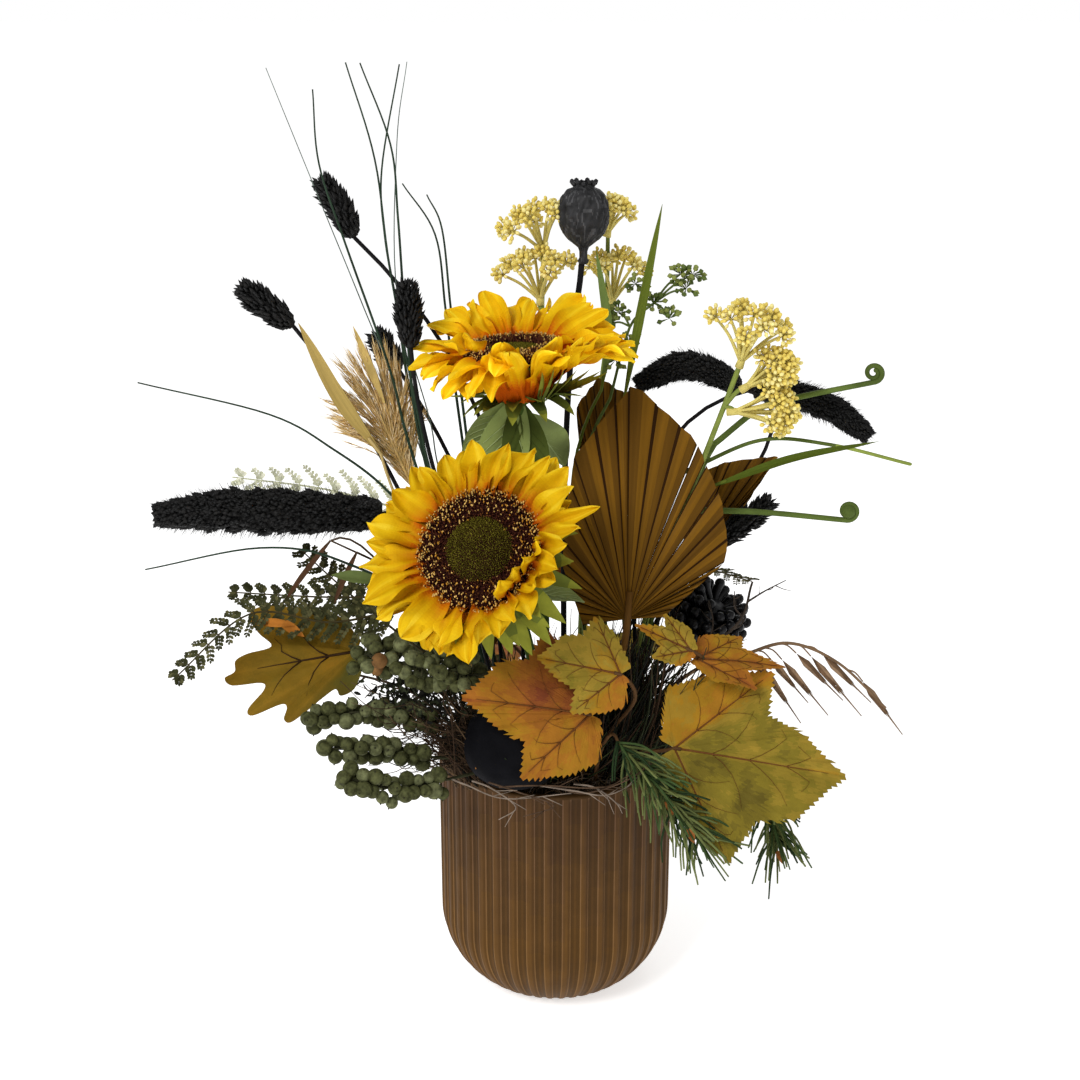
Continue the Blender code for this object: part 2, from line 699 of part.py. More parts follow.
MAPLE_OUTLINE = ((-140, 0.14), (-72, 0.47), (-57, 0.72), (-34, 0.62), (-22, 0.8), (-6, 0.91), (0, 1.0),
                 (7, 0.85), (15, 0.76), (28, 0.58), (47, 0.75), (72, 0.5), (105, 0.36), (160, 0.08))
NARROW_OUTLINE = ((-150, 0.1), (-70, 0.35), (-34, 0.7), (-18, 0.55), (0, 1.0), (18, 0.55), (34, 0.7),
                  (70, 0.35), (150, 0.1))
OAK_OUTLINE = ((-120, 0.1), (-76, 0.34), (-40, 0.7), (-30, 0.8), (-14, 0.6), (-6, 0.82), (0, 1.0), (6, 0.9),
               (13, 0.7), (24, 0.9), (30, 0.66), (42, 0.7), (50, 0.45), (74, 0.38), (130, 0.1))


def lobed_leaves(name, leaves, colour, foot=None, outline=MAPLE_OUTLINE):
    """Lobed leaves on one wired twig: the twig runs to the first, and others branch from it."""
    first = at(*leaves[0][0])
    heading = (at(*leaves[0][1]) - first).normalized()
    path = planted(first, heading + 0.5 * UP, 1.3 * MM, foot)
    inner = first + heading * 8 * MM
    core = [stem([*path, inner], 1.3 * MM, end_share=0.9)]
    groups = []
    for index, (junction, tip, face, cup) in enumerate(leaves):
        blade = lobed_blade(at(*junction), at(*tip), face, outline, cup)
        if index == 0:
            core.append(blade)
            continue
        join = path[-1]
        end = at(*junction) + (at(*tip) - at(*junction)).normalized() * 6 * MM
        groups.append([spike(join, end, 1.1 * MM, 0.9 * MM), blade])
    fuse(name, core, groups, colour, 0.7)


def plain_leaves(name, leaves, colour, foot=None):
    """Plain oval leaves on one twig."""
    line = [at(*leaves[0][0]), at(*leaves[0][1])]
    path = planted(line[0], line[1] - line[0], 1.1 * MM, foot)
    groups = []
    for root_place, tip, width in leaves:
        start, end = at(*root_place), at(*tip)
        blade = leaf((end - start).length, width * MM, 1 * MM, oval, rows=3, columns=1, droop=0.1)
        twig = spike(station(path, 0.75)[0], start.lerp(end, 0.15), 1 * MM, 0.8 * MM)
        groups.append([twig, move(blade, lay(start, end - start, FRONT + UP))])
    fuse(name, [stem(path, 1.1 * MM)], groups, colour, 0.8)


# ---------------------------------------------------------------- berries, gourd, pine and oats


def berry_spray(name, spine, berries, foot=None, berry_radius=4.7 * MM):
    """A sprig with round berries in a double row, each on a short stalk."""
    chance = random.Random(name)
    line = smooth(places(spine), 2)
    path = planted(line[0], line[1] - line[0], 1.1 * MM, foot) + line[1:]
    groups = []
    for index in range(berries):
        place, heading = station(line, (index + 0.5) / berries)
        side = around(heading, math.pi * index + chance.uniform(-0.5, 0.5))
        centre = place + side * 1.5 * berry_radius
        stalk = spike(place, centre, 0.8 * MM, 0.7 * MM)
        groups.append([stalk, ball(centre, berry_radius * chance.uniform(0.9, 1.05))])
    groups.append([ball(line[-1], berry_radius)])
    fuse(name, [stem(path, 1.2 * MM, end_share=0.7)], groups, (0.07, 0.09, 0.03), 0.6)


def gourd(name, centre, radius, squash, foot):
    """A small round gourd on a pick that holds it above the rim."""
    middle = at(*centre)
    profile = []
    for step in range(GOURD_STEPS + 1):
        angle = math.pi * step / GOURD_STEPS
        dip = 1 - 0.16 * abs(math.cos(angle)) ** 8
        profile.append((radius * MM * math.sin(angle), radius * MM * squash * dip * math.cos(angle)))
    profile[0] = (0, profile[0][1])
    profile[-1] = (0, profile[-1][1])
    body = move(turned(profile, 14), Matrix.Translation(middle))
    foot_place = Vector((*(Vector(foot) * MM), FILLING_TOP + GAP))
    pick = stem(seated([foot_place, foot_place.lerp(middle, 0.55)], 2 * MM), 2 * MM, end_share=1.0)
    nub = stem([middle + at(0, 0, radius * squash - 8), middle + at(4, 0, radius * squash + 7)], 3 * MM)
    fuse(name, [body, pick, nub], [], (0.01, 0.01, 0.01), 0.5)


def pine_sprig(name, spine, needles, needle_length, foot=None):
    """A drooping shoot of pine with long needles all round it."""
    chance = random.Random(name)
    line = smooth(places(spine), 2)
    path = planted(line[0], line[1] - line[0], 1.6 * MM, foot) + line[1:]
    groups = []
    for index in range(needles):
        place, heading = station(line, 0.1 + 0.9 * index / needles)
        side = around(heading, index * GOLDEN_TURN)
        direction = (heading + side * chance.uniform(0.45, 0.75)).normalized()
        length = needle_length * MM * chance.uniform(0.8, 1.1)
        groups.append([spike(place, place + direction * length, 1 * MM, 0.3 * MM)])
    fuse(name, [stem(path, 1.7 * MM, end_share=0.6)], groups, (0.05, 0.10, 0.04), 0.6)


def pine_cone(name, base, tip, radius, foot):
    """A pine cone: a core with broad scales in a spiral round it."""
    line = smooth([at(*base), at(*tip)], 5)
    path = planted(line[0], line[1] - line[0], 1.8 * MM, foot) + [line[2]]
    groups = []
    scales = 12
    for index in range(scales):
        share = (index + 0.5) / scales
        place, heading = station(line, share)
        side = around(heading, index * GOLDEN_TURN)
        reach = radius * MM * (0.35 + 0.65 * math.sin(math.pi * (0.2 + 0.7 * share)))
        tip_place = place + side * reach + heading * 0.35 * reach
        groups.append([leaflet(place, tip_place, 0.68 * radius * MM, 4 * MM, heading)])
    core = [spindle(line, 0.55 * radius * MM), stem(path, 1.8 * MM)]
    fuse(name, core, groups, (0.01, 0.01, 0.01), 0.4)


def oats(name, spine, spikelets, foot=None):
    """A nodding stalk of wild oats, with long spikelets hung from it."""
    chance = random.Random(name)
    line = smooth(places(spine), 2)
    path = planted(line[0], line[1] - line[0], 1.1 * MM, foot) + line[1:]
    groups = []
    for index in range(spikelets):
        place, heading = station(line, 0.35 + 0.65 * index / (spikelets - 1))
        side = around(heading, math.pi * index + chance.uniform(-0.4, 0.4))
        fall = (heading + 0.35 * side - 0.35 * UP).normalized()
        groups.append([leaflet(place - fall * 3 * MM, place + fall * 32 * MM, 5 * MM, 3.5 * MM, UP)])
    fuse(name, [stem(path, 1.1 * MM, end_share=0.6)], groups, (0.16, 0.09, 0.04), 0.8)


def twiggy(name, spine, twigs, twig_length, colour, foot=None):
    """A bare branching twig."""
    chance = random.Random(name)
    line = smooth(places(spine), 2)
    path = planted(line[0], line[1] - line[0], 1.3 * MM, foot) + line[1:]
    groups = []
    for index in range(twigs):
        place, heading = station(path, 0.15 + 0.8 * index / twigs)
        side = around(heading, index * GOLDEN_TURN)
        length = twig_length * MM * chance.uniform(0.6, 1.1)
        tip = place + (heading * 0.7 + side).normalized() * length
        finer = place.lerp(tip, 0.55)
        spray = spike(finer, finer + (tip - finer).length * (heading + 0.3 * side), 0.6 * MM, 0.3 * MM)
        groups.append([spike(place, tip, 0.9 * MM, 0.4 * MM), spray])
    fuse(name, [stem(path, 1.4 * MM, end_share=0.5)], groups, colour, 0.85)


# ---------------------------------------------------------------- the arrangement
# Places are in millimetres. A spine runs from where a stem reaches it to its tip.


def bold_pieces():
    """What stands out first: the flowers, the palm spears, the gourd and the cone."""
    gourd("gourd", (-25, -64, 190), 31, 0.9, foot=(-20, -44))
    sunflower("sunflower_front", at(-43, -95, 322), Vector((-0.17, -0.80, 0.57)), (-10, -14), leaves=(
        (0.62, (-1, 0.2, 0.3), 50), (0.66, (1, -0.1, 0.2), 45)))
    palm_spear("palm_spear_front", (43, -35, 259),
               ((16, -30, 253), (3, -25, 291), (11, -8, 356), (47, 8, 396), (85, 0, 364), (101, -10, 328),
                (105, -16, 303), (103, -20, 290), (65, -30, 258)),
               face=(0.05, -0.95, 0.3), pleats=18, foot=(24, -18))
    palm_spear("palm_spear_back", (36, 72, 275),
               ((18, 80, 312), (13, 84, 366), (28, 86, 386), (60, 86, 366), (66, 82, 318)),
               face=(0, 0.9, 0.3), pleats=10, foot=(20, 34))
    palm_spear("palm_spear_right", (84, 50, 262),
               ((84, 58, 322), (110, 60, 332), (147, 62, 337), (131, 58, 314), (112, 54, 282)),
               face=(0.1, -0.9, 0.4), pleats=8, foot=(40, 20))
    palm_spear("palm_spear_left", (-42, 52, 205),
               ((-86, 62, 250), (-84, 66, 290), (-52, 74, 326), (-14, 66, 292), (-12, 60, 250)),
               face=(0, 0.95, 0.3), pleats=12, foot=(-18, 30))
    sunflower("sunflower_top", at(-25, -20, 420), Vector((-0.15, -0.25, 0.95)), (-6, 6), leaves=(
        (0.86, (-1, -0.7, -0.3), 60), (0.88, (-0.3, -1, -0.7), 56), (0.84, (0.5, 1, -0.1), 62),
        (0.82, (-0.9, 0.8, -0.1), 58)))
    pine_cone("pine_cone", (84, 34, 216), (104, 24, 246), 29, foot=(38, 6))
    wiry_tuft("wiry_grass", (
        ((-86, 2, 346), (-100, 2, 405), (-124, 4, 479), (-138, 6, 525), (-140, 6, 567)),
        ((-82, 16, 346), (-116, 20, 438), (-141, 26, 502), (-170, 30, 578)),
        ((-74, 0, 330), (-83, 0, 374), (-98, 0, 465), (-105, 0, 528), (-120, 0, 582)),
        ((-80, 4, 346), (-89, -2, 430), (-92, -6, 495), (-95, -8, 537), (-111, -8, 582)),
        ((-84, 18, 360), (-96, 20, 438), (-103, 26, 482), (-104, 30, 520), (-92, 30, 580)),
        ((-70, 8, 330), (-77, 6, 373), (-95, 8, 449), (-93, 10, 536), (-86, 10, 582)),
        ((-62, 50, 370), (-69, 56, 431), (-75, 62, 477), (-95, 66, 508)),
        ((-58, 40, 370), (-65, 44, 433), (-70, 50, 482), (-79, 50, 503))), (-34, 14))
    wiry_tuft("wiry_grass_low", (
        ((-80, -16, 300), (-102, -20, 336), (-132, -24, 362), (-169, -26, 384), (-244, -30, 404)),
        ((-84, -30, 262), (-129, -40, 298), (-174, -52, 310), (-240, -62, 300))), (-54, -6))


def tall_stems():
    """Pods, umbels, blades and grasses that stand above the flowers."""
    poppy_pod("poppy_pod", at(17, 62, 490), (6, 30))
    umbel("umbel_left", (
        ((-10, 66, 437), (-0.05, 0, 1), 28, 28), ((-8, 76, 466), (-0.3, 0.1, 1), 26, 27)), (-8, 38))
    umbel("umbel_right_back", (
        ((37, 90, 432), (0.1, 0, 1), 22, 30), ((33, 84, 476), (0.2, 0, 1), 12, 20)), (16, 50))
    umbel("umbel_right", (
        ((110, -4, 412), (0.25, -0.2, 0.9), 26, 32), ((108, -2, 380), (1, -0.3, 0.1), 17, 34)), (44, 0))
    bud_spray("bud_spray", ((35, 66, 372), (47, 68, 418), (62, 66, 434)),
              ((82, 66, 443), (40, 70, 427), (62, 66, 434)), (26, 34))
    green = (0.12, 0.20, 0.03)
    long_blade("blade_tall", ((43, 50, 374), (54, 50, 438), (65, 54, 497)), 9, green, (32, 20))
    long_blade("blade_back", ((29, 56, 380), (33, 58, 415), (25, 62, 468)), 8, green, (24, 42))
    long_blade("blade_right", ((90, 14, 326), (139, -16, 354), (186, -46, 373)), 8, green, (50, -8),
               face=(0, -0.7, 0.7))
    straw = (0.45, 0.32, 0.12)
    long_blade("straw_blade", ((-106, -10, 356), (-128, -20, 392), (-149, -30, 439)), 12, straw, (-44, 4))
    round_grass("round_grass", ((83, 22, 337), (125, 10, 359), (165, -4, 360), (212, -16, 351)), (46, 10))
    fiddlehead("fiddlehead_upper", ((99, 28, 352), (125, 18, 377), (147, 10, 386), (190, -1, 396)), 8,
               (44, 22))
    fiddlehead("fiddlehead_lower", ((92, 24, 310), (130, 16, 311), (181, 9, 308)), 6, (50, 16))


def seed_heads():
    """Foxtails, canary grass heads and the plume."""
    black = (0.015, 0.015, 0.015)
    tall = dict(radius=9, rows=2, per_row=3, scale_length=14, colour=black)
    seed_spike("seed_head_tall", ((-122, 30, 480), (-130, 30, 497), (-140, 30, 513)), foot=(-20, 26), **tall)
    seed_spike("seed_head_left", ((-153, -26, 437), (-165, -30, 447), (-179, -32, 459)), foot=(-50, -2),
               **tall)
    seed_spike("seed_head_middle", ((-86, -12, 421), (-87, -10, 438), (-88, -8, 457)), foot=(-36, -8), **tall)
    seed_spike("seed_head_behind", ((-98, 42, 396), (-105, 40, 408), (-111, 38, 419)), radius=8, rows=2,
               per_row=3, scale_length=13, colour=black, foot=(-34, 30))
    seed_spike("seed_head_right", ((104, 36, 284), (120, 36, 298), (136, 35, 312)), foot=(54, 26), **tall)
    long = dict(per_row=3, scale_length=16, colour=black)
    seed_spike("foxtail_left", ((-108, 10, 312), (-158, 6, 314), (-200, 4, 316), (-246, 0, 314)), radius=19,
               rows=5, foot=(-40, 18), **long)
    seed_spike("foxtail_right", ((124, 42, 384), (150, 36, 381), (174, 28, 373), (193, 20, 359)), radius=12,
               rows=4, foot=(52, 4), **long)
    seed_spike("foxtail_behind", ((117, 62, 380), (101, 60, 390), (79, 60, 395), (52, 60, 383)), radius=11,
               rows=3, foot=(48, 36), **long)
    plume("pampas_plume", ((-88, 14, 325), (-102, 8, 362), (-114, 2, 396)), 10, 58, foot=(-46, 12))


def greenery():
    """Fern fronds, leaves and berries."""
    fern = (0.03, 0.05, 0.02)
    pale = (0.35, 0.38, 0.30)
    frond("fern_front", ((-99, -20, 259), (-138, -30, 255), (-185, -40, 264), (-228, -66, 232)), 6, 48, fern,
          (-50, -20))
    frond("fern_middle", ((-101, 12, 256), (-150, 18, 254), (-208, 16, 258)), 5, 42, fern, (-54, 4))
    frond("fern_high", ((-106, 26, 230), (-137, 34, 254), (-165, 40, 279)), 5, 40, fern, (-52, 22))
    frond("fern_pale", ((-100, 58, 300), (-150, 64, 312), (-212, 72, 318)), 5, 40, pale, (-44, 36))
    frond("fern_back_left", ((-60, 66, 225), (-96, 92, 240), (-138, 112, 226)), 5, 50, fern, (-30, 46),
          face=(0, 0.5, 0.85))
    frond("fern_back_right", ((62, 62, 232), (98, 92, 246), (138, 116, 230)), 5, 50, fern, (38, 44),
          face=(0, 0.5, 0.85))
    autumn = (0.50, 0.22, 0.04)
    olive = (0.36, 0.27, 0.04)
    lobed_leaves("lobed_leaf_front", (((19, -80, 216), (-50, -106, 240), (0.4, -0.75, 0.53), 0.12),), autumn,
                 (16, -46))
    lobed_leaves("lobed_leaf_small", (((37, -76, 240), (-10, -88, 256), (0.5, -0.75, 0.4), 0.1),), olive,
                 (26, -34))
    lobed_leaves("lobed_leaf_right", (((70, -75, 192), (170, -92, 184), (-0.12, -0.78, 0.61), 0.1),), olive,
                 (50, -30))
    lobed_leaves("lobed_leaf_pair", (
        ((80, -54, 246), (48, -60, 266), (0.1, -0.7, 0.7), 0.1),
        ((84, -52, 240), (140, -44, 236), (0.1, -0.4, 0.9), 0.1)), autumn, (54, -16), outline=NARROW_OUTLINE)
    lobed_leaves("lobed_leaf_back_left", (((-30, 88, 194), (-92, 122, 186), (-0.2, 0.75, 0.6), 0.12),),
                 autumn, (-12, 52))
    lobed_leaves("lobed_leaf_back_right", (((44, 88, 196), (106, 118, 180), (0.2, 0.75, 0.6), 0.12),),
                 olive, (26, 52))
    lobed_leaves("lobed_leaf_back", (((6, 86, 236), (2, 112, 306), (0, 0.9, 0.3), 0.1),), autumn, (4, 52))
    lobed_leaves("oak_leaf", (((-122, -30, 236), (-203, -42, 226), (0.07, -0.77, 0.63), 0.1),),
                 (0.30, 0.17, 0.02), (-50, -28), outline=OAK_OUTLINE)
    plain_leaves("plain_leaves", (
        ((-120, -20, 298), (-148, -24, 258), 10), ((-106, -44, 268), (-128, -56, 264), 12)),
                 (0.20, 0.12, 0.05), (-56, -8))
    berry_spray("berries_upper", ((-46, -78, 240), (-84, -72, 244), (-118, -62, 248)), 5, (-36, -46))
    berry_spray("berries_middle", ((-72, -52, 200), (-110, -62, 210), (-148, -72, 210)), 5, (-48, -34))
    berry_spray("berries_lower", ((-76, -66, 182), (-106, -80, 193), (-136, -92, 200)), 5, (-44, -40))
    berry_spray("berries_rim", ((-66, -84, 176), (-94, -100, 178), (-123, -110, 190)), 5, (-34, -50))
    berry_spray("berries_back", ((-40, 74, 182), (-78, 96, 190), (-112, 108, 190)), 5, (-30, 50))


def trailing():
    """Pine, oats and bare twigs, which trail over the rim."""
    pine_sprig("pine_front", ((36, -78, 198), (58, -98, 178), (92, -110, 138)), 12, 40, (24, -50))
    pine_sprig("pine_right", ((128, -36, 150), (137, -44, 120), (141, -50, 98)), 9, 32, (58, -6))
    pine_sprig("pine_back", ((14, 84, 186), (16, 106, 162), (16, 120, 132)), 9, 36, (-4, 56))
    oats("oats_right", ((118, 18, 213), (147, 4, 222), (176, -14, 218), (204, -32, 198)), 6, (56, 14))
    twiggy("twigs_right", ((72, -10, 216), (112, -8, 244), (122, -4, 272)), 4, 30, (0.05, 0.03, 0.02),
           (56, -2))
    twiggy("twigs_left", ((-56, -30, 190), (-96, -34, 214), (-128, -30, 222)), 4, 24, (0.10, 0.06, 0.04),
           (-56, -16))


def main():
    pot()
    filling()
    bold_pieces()
    tall_stems()
    seed_heads()
    greenery()
    trailing()


main()
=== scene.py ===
"""The looks of a potted autumn arrangement: artificial sunflowers among dried palm, grasses and ferns.

Lengths are metres, and at() takes millimetres. +Z is up, -Y is the front. Every flower, frond and spray grows
on the stem that its solid in the frame has: it starts at that solid's foot and follows the same course.
"""

import functools
import itertools
import math
import random

import bmesh
import bpy
import numpy as np
from mathutils import Matrix, Vector, noise
from mathutils.bvhtree import BVHTree


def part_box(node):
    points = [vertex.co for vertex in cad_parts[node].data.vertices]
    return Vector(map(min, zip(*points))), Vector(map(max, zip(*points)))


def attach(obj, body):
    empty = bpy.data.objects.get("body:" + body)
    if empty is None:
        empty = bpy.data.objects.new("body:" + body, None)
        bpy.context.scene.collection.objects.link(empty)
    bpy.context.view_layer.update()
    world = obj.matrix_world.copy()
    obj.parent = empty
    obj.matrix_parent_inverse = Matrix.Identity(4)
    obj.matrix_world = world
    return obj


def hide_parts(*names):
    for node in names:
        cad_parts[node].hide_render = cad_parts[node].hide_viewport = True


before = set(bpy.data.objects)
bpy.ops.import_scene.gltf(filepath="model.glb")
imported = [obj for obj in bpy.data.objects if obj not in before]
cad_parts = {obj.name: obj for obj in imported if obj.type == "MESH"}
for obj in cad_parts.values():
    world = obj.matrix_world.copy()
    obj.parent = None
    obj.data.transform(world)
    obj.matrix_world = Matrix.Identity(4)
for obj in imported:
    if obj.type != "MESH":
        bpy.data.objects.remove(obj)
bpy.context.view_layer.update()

MM = 0.001
UP = Vector((0, 0, 1))
FRONT = Vector((0, -1, 0))
GOLDEN_TURN = math.radians(137.508)
STEM_SPANS = 4                      # spans of a stem in the frame's solids
RISES = (0.4, 0.3, 0.5, 0.2, 0.6)   # how a stem may hold its directions, in shares of its reach
LEAN = 0.45                         # how far a stem may turn from its wanted last direction
FINE = 4                            # spans here for each span of the solids
TINT_STOPS = (0.32, 0.68)           # where a finish's noise reaches its darker and its lighter tint
RELIEF = 0.0006                     # how far the bumps of a finish stand out
NOTHING = 1e-9                      # keeps a length of nothing out of a division


def at(x, y, z):
    """A place given in millimetres."""
    return Vector((x, y, z)) * MM


def places(points):
    return [at(*point) for point in points]


def ring(angle, reach=1.0):
    """A level vector of so much reach, at an angle round +Z."""
    return Vector((reach * math.cos(angle), reach * math.sin(angle), 0))


# ---------------------------------------------------------------- placing and paths


def lay(origin, along, face):
    """The matrix that puts +X along a direction, and +Z as near as it can to face."""
    x = along.normalized()
    y = Vector(face).cross(x)
    y = y.normalized() if y.length > 1e-6 else x.orthogonal().normalized()
    return Matrix.Translation(origin) @ Matrix((x, y, x.cross(y))).transposed().to_4x4()


def stand(origin, axis, side):
    """The matrix that puts +Z along an axis, and +X as near as it can to side."""
    z = axis.normalized()
    y = z.cross(side)
    y = y.normalized() if y.length > 1e-6 else z.orthogonal().normalized()
    return Matrix.Translation(origin) @ Matrix((y.cross(z), y, z)).transposed().to_4x4()


def around(axis, angle):
    """A unit vector square to an axis, at an angle round it."""
    first = axis.cross(UP)
    first = first.normalized() if first.length > 0.05 else axis.orthogonal().normalized()
    second = axis.normalized().cross(first)
    return first * math.cos(angle) + second * math.sin(angle)


def stray(chance):
    """A level unit vector in any direction."""
    return around(UP, chance.uniform(0, math.tau))


def smooth(points, spans):
    """A smooth path through the given points, with so many spans between each two."""
    ends = [2 * points[0] - points[1], *points, 2 * points[-1] - points[-2]]
    path = []
    for before, start, end, after in zip(ends, ends[1:], ends[2:], ends[3:]):
        for step in range(spans):
            t = step / spans
            path.append(0.5 * (2 * start + (end - before) * t
                               + (2 * before - 5 * start + 4 * end - after) * t ** 2
                               + (3 * start - before - 3 * end + after) * t ** 3))
    return path + [points[-1]]


def bend(foot, head, arrive, rise, spans=STEM_SPANS):
    """A stem's path: it leaves its foot upright and reaches its head in the direction arrive."""
    hold = rise * (head - foot).length
    first = foot + hold * UP
    last = head - hold * arrive.normalized()
    path = []
    for step in range(spans + 1):
        t = step / spans
        path.append((1 - t) ** 3 * foot + 3 * (1 - t) ** 2 * t * first
                    + 3 * (1 - t) * t ** 2 * last + t ** 3 * head)
    return path


def station(path, share):
    """The place and the direction at a share of a path's length."""
    lengths = [(b - a).length for a, b in zip(path, path[1:])]
    left = share * sum(lengths)
    for start, end, length in zip(path, path[1:], lengths):
        if left <= length:
            return start.lerp(end, left / max(length, 1e-9)), (end - start).normalized()
        left -= length
    return path[-1].copy(), (path[-1] - path[-2]).normalized()


def solid_of(node):
    """A node's points and its search tree."""
    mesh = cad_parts[node].data
    points = [vertex.co.copy() for vertex in mesh.vertices]
    return points, BVHTree.FromPolygons(points, [polygon.vertices for polygon in mesh.polygons])


def foot_of(points):
    """The middle of a solid's stem where it comes out of the filling, or of its lowest end."""
    near = [point for point in points if abs(point.z - FILLING_TOP) < 3 * MM and point.xy.length < POT_RADIUS]
    lowest = sorted({tuple(round(c, 6) for c in point) for point in near or points}, key=lambda p: p[2])[:4]
    return sum((Vector(p) for p in lowest), Vector()) / len(lowest)


def grown(node, head, arrive):
    """The fine path of a node's stem up to its head, by the course that its solid took."""
    points, tree = solid_of(node)
    foot = foot_of(points)
    headings = [arrive.normalized() + lean for lean in
                (Vector(), *(LEAN * around(arrive, quarter * math.pi / 2) for quarter in range(4)))]

    def miss(choice):
        path = bend(foot, head, choice[1], choice[0])
        return sum(tree.find_nearest(spot)[3] for spot in path[1:-1])

    rise, heading = min(itertools.product(RISES, headings), key=miss)
    return bend(foot, head, heading, rise, STEM_SPANS * FINE)


def rooted(name, spine, spans, lead=2):
    """A spine's smooth line, and the stem that comes up to its start from its solid's foot."""
    first, second = smooth(places(spine), lead)[:2]
    return smooth(places(spine), spans), grown(name, first, second - first)


def spiral(line, number, first=0.5, turn=GOLDEN_TURN):
    """Places spread along a line: number, share, place, heading and a side that turns round the line."""
    for index in range(number):
        share = (index + first) / number
        place, heading = station(line, share)
        yield index, share, place, heading, around(heading, index * turn)


# ---------------------------------------------------------------- gathering faces


class Heap:
    """Points and faces gathered for one joined piece. Each face has the number of its finish."""

    def __init__(self):
        self.points = []
        self.uvs = []
        self.faces = {3: [], 4: []}
        self.count = 0

    def add(self, points, faces, finish=0, uvs=None):
        """Add points (n, 3) and faces (m, 3 or 4), with one finish or one for each face."""
        points = np.asarray(points, float).reshape(-1, 3)
        self.points.append(points)
        self.uvs.append(np.zeros((len(points), 2)) if uvs is None else np.asarray(uvs, float).reshape(-1, 2))
        self.count += len(points)
        self.more(faces, finish)

    def more(self, faces, finish=0):
        """Add faces on the points of the last add."""
        faces = np.asarray(faces, int) + self.count - len(self.points[-1])
        self.faces[faces.shape[1]].append((faces, np.broadcast_to(np.asarray(finish, int), (len(faces),))))

    def copies(self, points, face, finish=0):
        """Add many small shapes alike: points (number, points of one, 3), and the faces of one."""
        number, size = points.shape[:2]
        face = np.asarray(face)
        faces = (np.arange(number) * size)[:, None, None] + face
        kinds = np.repeat(np.broadcast_to(np.asarray(finish, int), (number,)), len(face))
        self.add(points, faces.reshape(-1, face.shape[1]), kinds)


def piece(name, heap, finishes, node):
    """Make the object of a heap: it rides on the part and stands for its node."""
    blocks = heap.faces[3] + heap.faces[4]
    corners = np.concatenate([faces.ravel() for faces, _ in blocks])
    sizes = np.concatenate([np.full(len(faces), faces.shape[1]) for faces, _ in blocks])
    mesh = bpy.data.meshes.new(name)
    mesh.vertices.add(heap.count)
    mesh.vertices.foreach_set("co", np.concatenate(heap.points).ravel())
    mesh.loops.add(len(corners))
    mesh.loops.foreach_set("vertex_index", corners)
    mesh.polygons.add(len(sizes))
    mesh.polygons.foreach_set("loop_start", np.cumsum(sizes) - sizes)
    mesh.polygons.foreach_set("material_index", np.concatenate([kinds for _, kinds in blocks]))
    layer = mesh.uv_layers.new(name="UVMap")
    layer.data.foreach_set("uv", np.concatenate(heap.uvs)[corners].ravel())
    mesh.update(calc_edges=True)
    mesh.validate()
    mesh.shade_smooth()
    for finish in finishes:
        mesh.materials.append(finish)
    thing = bpy.data.objects.new(name, mesh)
    bpy.context.scene.collection.objects.link(thing)
    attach(thing, "root")
    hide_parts(node)


def grid_faces(rows, columns, closed=False):
    """The faces of a grid of points, row by row; a closed grid joins its last column to its first."""
    width = columns if closed else columns + 1
    row, column = np.meshgrid(np.arange(rows), np.arange(columns), indexing="ij")
    nearer = row * width + column
    beside = row * width + (column + 1) % width
    return np.stack([nearer, beside, beside + width, nearer + width], axis=-1).reshape(-1, 4)


def tube(heap, path, radii, sides=6, finish=0, closed_ends=True):
    """A round stem along a path."""
    path = [Vector(point) for point in path]
    normal = None
    rings = []
    for index, (place, radius) in enumerate(zip(path, radii)):
        heading = (path[min(index + 1, len(path) - 1)] - path[max(index - 1, 0)]).normalized()
        normal = heading.orthogonal() if normal is None else normal - heading * normal.dot(heading)
        normal.normalize()
        across = heading.cross(normal)
        for side in range(sides):
            angle = math.tau * side / sides
            rings.append(place + float(radius) * (math.cos(angle) * normal + math.sin(angle) * across))
    reach = np.linspace(0, 1, len(path))
    uvs = np.stack(np.meshgrid(reach, np.arange(sides) / sides, indexing="ij"), axis=-1)
    heap.add(rings, grid_faces(len(path) - 1, sides, closed=True), finish, uvs)
    if closed_ends:
        last = len(rings) - sides
        fan = [(0, side + 1, side) for side in range(1, sides - 1)]
        heap.more(fan + [(last, last + side, last + side + 1) for side in range(1, sides - 1)], finish)


def stem(heap, path, radius, end_share=0.6, sides=6, finish=0):
    """A stem that thins evenly to end_share of its radius."""
    last = len(path) - 1
    tube(heap, path, [radius * (1 - (1 - end_share) * index / last) for index in range(last + 1)], sides,
         finish)


def rows_of(points):
    return np.asarray(points, float).reshape(-1, 3)


def column_of(value, number):
    """One value for each of so many, from a single one or a list."""
    return np.broadcast_to(np.asarray(value, float), (number,))[:, None]


def unit(rows, guard=0.0):
    return rows / (np.linalg.norm(rows, axis=1, keepdims=True) + guard)


def darts(heap, roots, tips, radius, finish=0, sides=3, swell=0.35):
    """Many small spindles: scales, needles, florets, hairs or buds. radius is one number or one for each."""
    roots, tips = rows_of(roots), rows_of(tips)
    along = tips - roots
    heading = unit(along)
    helper = np.where(np.abs(heading[:, 2:3]) < 0.8, np.array([[0.0, 0.0, 1.0]]), np.array([[1.0, 0.0, 0.0]]))
    first = unit(np.cross(heading, helper))
    second = np.cross(heading, first)
    radius = column_of(radius, len(roots))
    rings, face = [], []
    for side in range(sides):
        angle = math.tau * side / sides
        after = (side + 1) % sides
        rings.append(roots + swell * along + radius * (math.cos(angle) * first + math.sin(angle) * second))
        face += [(0, 1 + after, 1 + side), (sides + 1, 1 + side, 1 + after)]
    heap.copies(np.stack([roots, *rings, tips], axis=1), face, finish)


